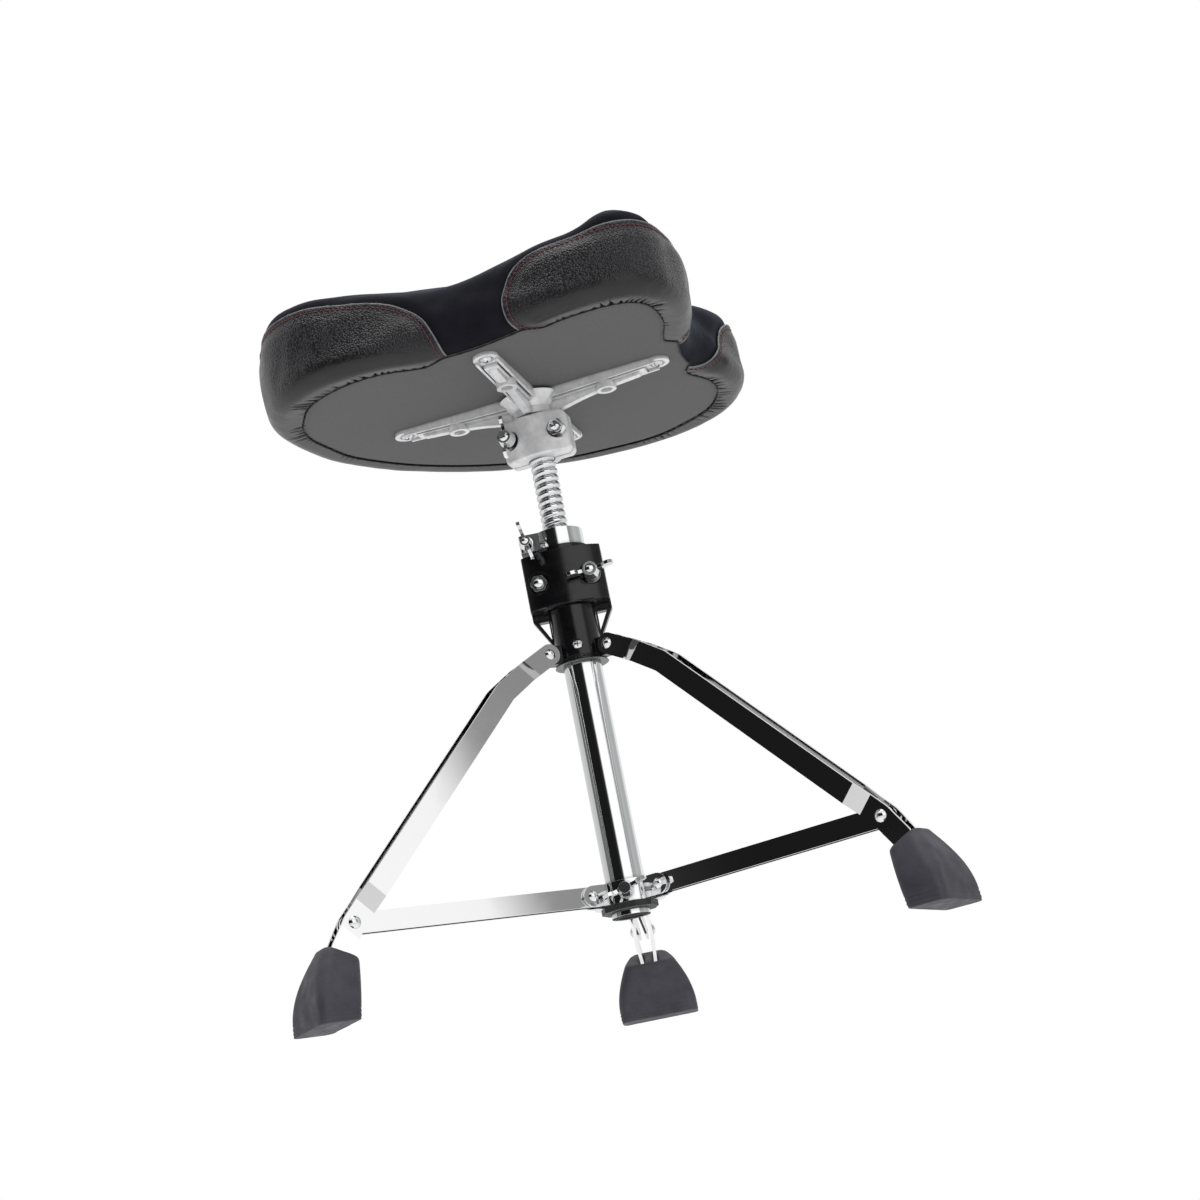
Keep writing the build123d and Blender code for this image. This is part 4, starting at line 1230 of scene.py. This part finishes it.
def build_world():
    """White to the camera; reflections and light come from the banded studio walls."""
    world = bpy.data.worlds.new("studio")
    scene.world = world
    world.use_nodes = True
    tree = world.node_tree
    tree.nodes.clear()

    def add(kind, inputs=None, **settings):
        return add_node(tree, kind, inputs, **settings)

    def grey_ramp(source, stops):
        return add_ramp(tree, source, [(p, grey(v)) for p, v in stops])

    direction = add("ShaderNodeTexCoord").outputs["Generated"]
    axes = add("ShaderNodeSeparateXYZ", {0: direction}).outputs
    angle = add("ShaderNodeMath", {0: axes["Y"], 1: axes["X"]}, operation="ARCTAN2")
    slant = add("ShaderNodeMath", {0: axes["Z"], 1: math.radians(15.0), 2: angle.outputs[0]},
                operation="MULTIPLY_ADD")
    from_camera = add("ShaderNodeMath", {0: slant.outputs[0], 1: CAM_SIDE},
                      operation="SUBTRACT")
    wrapped = add("ShaderNodeMath", {0: from_camera.outputs[0], 1: math.pi, 2: -math.pi},
                  operation="WRAP")
    turn = add("ShaderNodeMapRange", {"From Min": -math.pi, "From Max": math.pi,
                                      "Value": wrapped.outputs[0]})
    walls = grey_ramp(turn.outputs[0], [((deg + 180.0) / 360.0, v) for deg, v in WALLS])
    height = add("ShaderNodeMapRange", {"From Min": -1.0, "From Max": 1.0,
                                        "Value": axes["Z"]}).outputs[0]
    studio = add("ShaderNodeMixRGB", {
        "Fac": grey_ramp(height, PLAIN_SHARE), "Color1": walls,
        "Color2": grey_ramp(height, PLAIN_LIGHT)})
    lit = add("ShaderNodeBackground", {"Strength": 1.0, "Color": studio.outputs[0]})
    white = add("ShaderNodeBackground", {"Strength": 1.0, "Color": (1, 1, 1, 1)})
    rays = add("ShaderNodeLightPath")
    shown = add("ShaderNodeMixShader", {
        "Fac": rays.outputs["Is Camera Ray"], 1: lit.outputs[0], 2: white.outputs[0]})
    add("ShaderNodeOutputWorld", {"Surface": shown.outputs[0]})


build_world()


# ---------------------------------------------------------------- lights
def add_area(name, location, target, size, power, glossy=True):
    light = bpy.data.lights.new(name, "AREA")
    light.shape = "RECTANGLE"
    light.size, light.size_y = size
    light.energy = power
    ob = bpy.data.objects.new(name, light)
    scene.collection.objects.link(ob)
    ob.location = location
    ob.rotation_mode = "QUATERNION"
    ob.rotation_quaternion = (Vector(target) - Vector(location)).to_track_quat("-Z", "Y")
    ob.visible_glossy = glossy


def around(degrees, distance, z):
    """Point at an angle from the camera's side, + to picture right."""
    a = math.radians(-90.0 + degrees) + CAM_AZ
    return (distance * math.cos(a), distance * math.sin(a), z)


add_area("key_softbox", around(degrees=38, distance=6.5, z=1.75), target=(0, 0, 0.40),
         size=(3.6, 3.8), power=125, glossy=False)
add_area("left_softbox", around(degrees=-78, distance=6.5, z=1.9), target=(0, 0, 0.45),
         size=(2.0, 3.8), power=78, glossy=False)
add_area("top_softbox", (0.1, 0.1, 2.4), target=(0, 0, 0.4), size=(1.8, 1.8), power=16)

# ---------------------------------------------------------------- camera
CAM_PLACE = (-0.9585, -1.6428, -0.2130)


def build_camera():
    data = bpy.data.cameras.new("camera")
    camera = bpy.data.objects.new("camera", data)
    scene.collection.objects.link(camera)
    data.sensor_width = 36.0
    data.lens = 70.98
    data.clip_start, data.clip_end = 0.05, 50.0
    back = Vector((math.sin(CAM_AZ) * math.cos(CAM_EL), -math.cos(CAM_AZ) * math.cos(CAM_EL),
                   math.sin(CAM_EL)))
    level = (-back).cross(Vector((0, 0, 1))).normalized()
    upright = level.cross(-back)
    right = math.cos(CAM_ROLL) * level + math.sin(CAM_ROLL) * upright
    up = -math.sin(CAM_ROLL) * level + math.cos(CAM_ROLL) * upright
    rows = [(*row,) for row in zip(right, up, back, CAM_PLACE)]
    camera.matrix_world = Matrix((*rows, (0, 0, 0, 1)))
    scene.camera = camera


build_camera()
scene.view_settings.view_transform = "Standard"
scene.view_settings.look = "None"
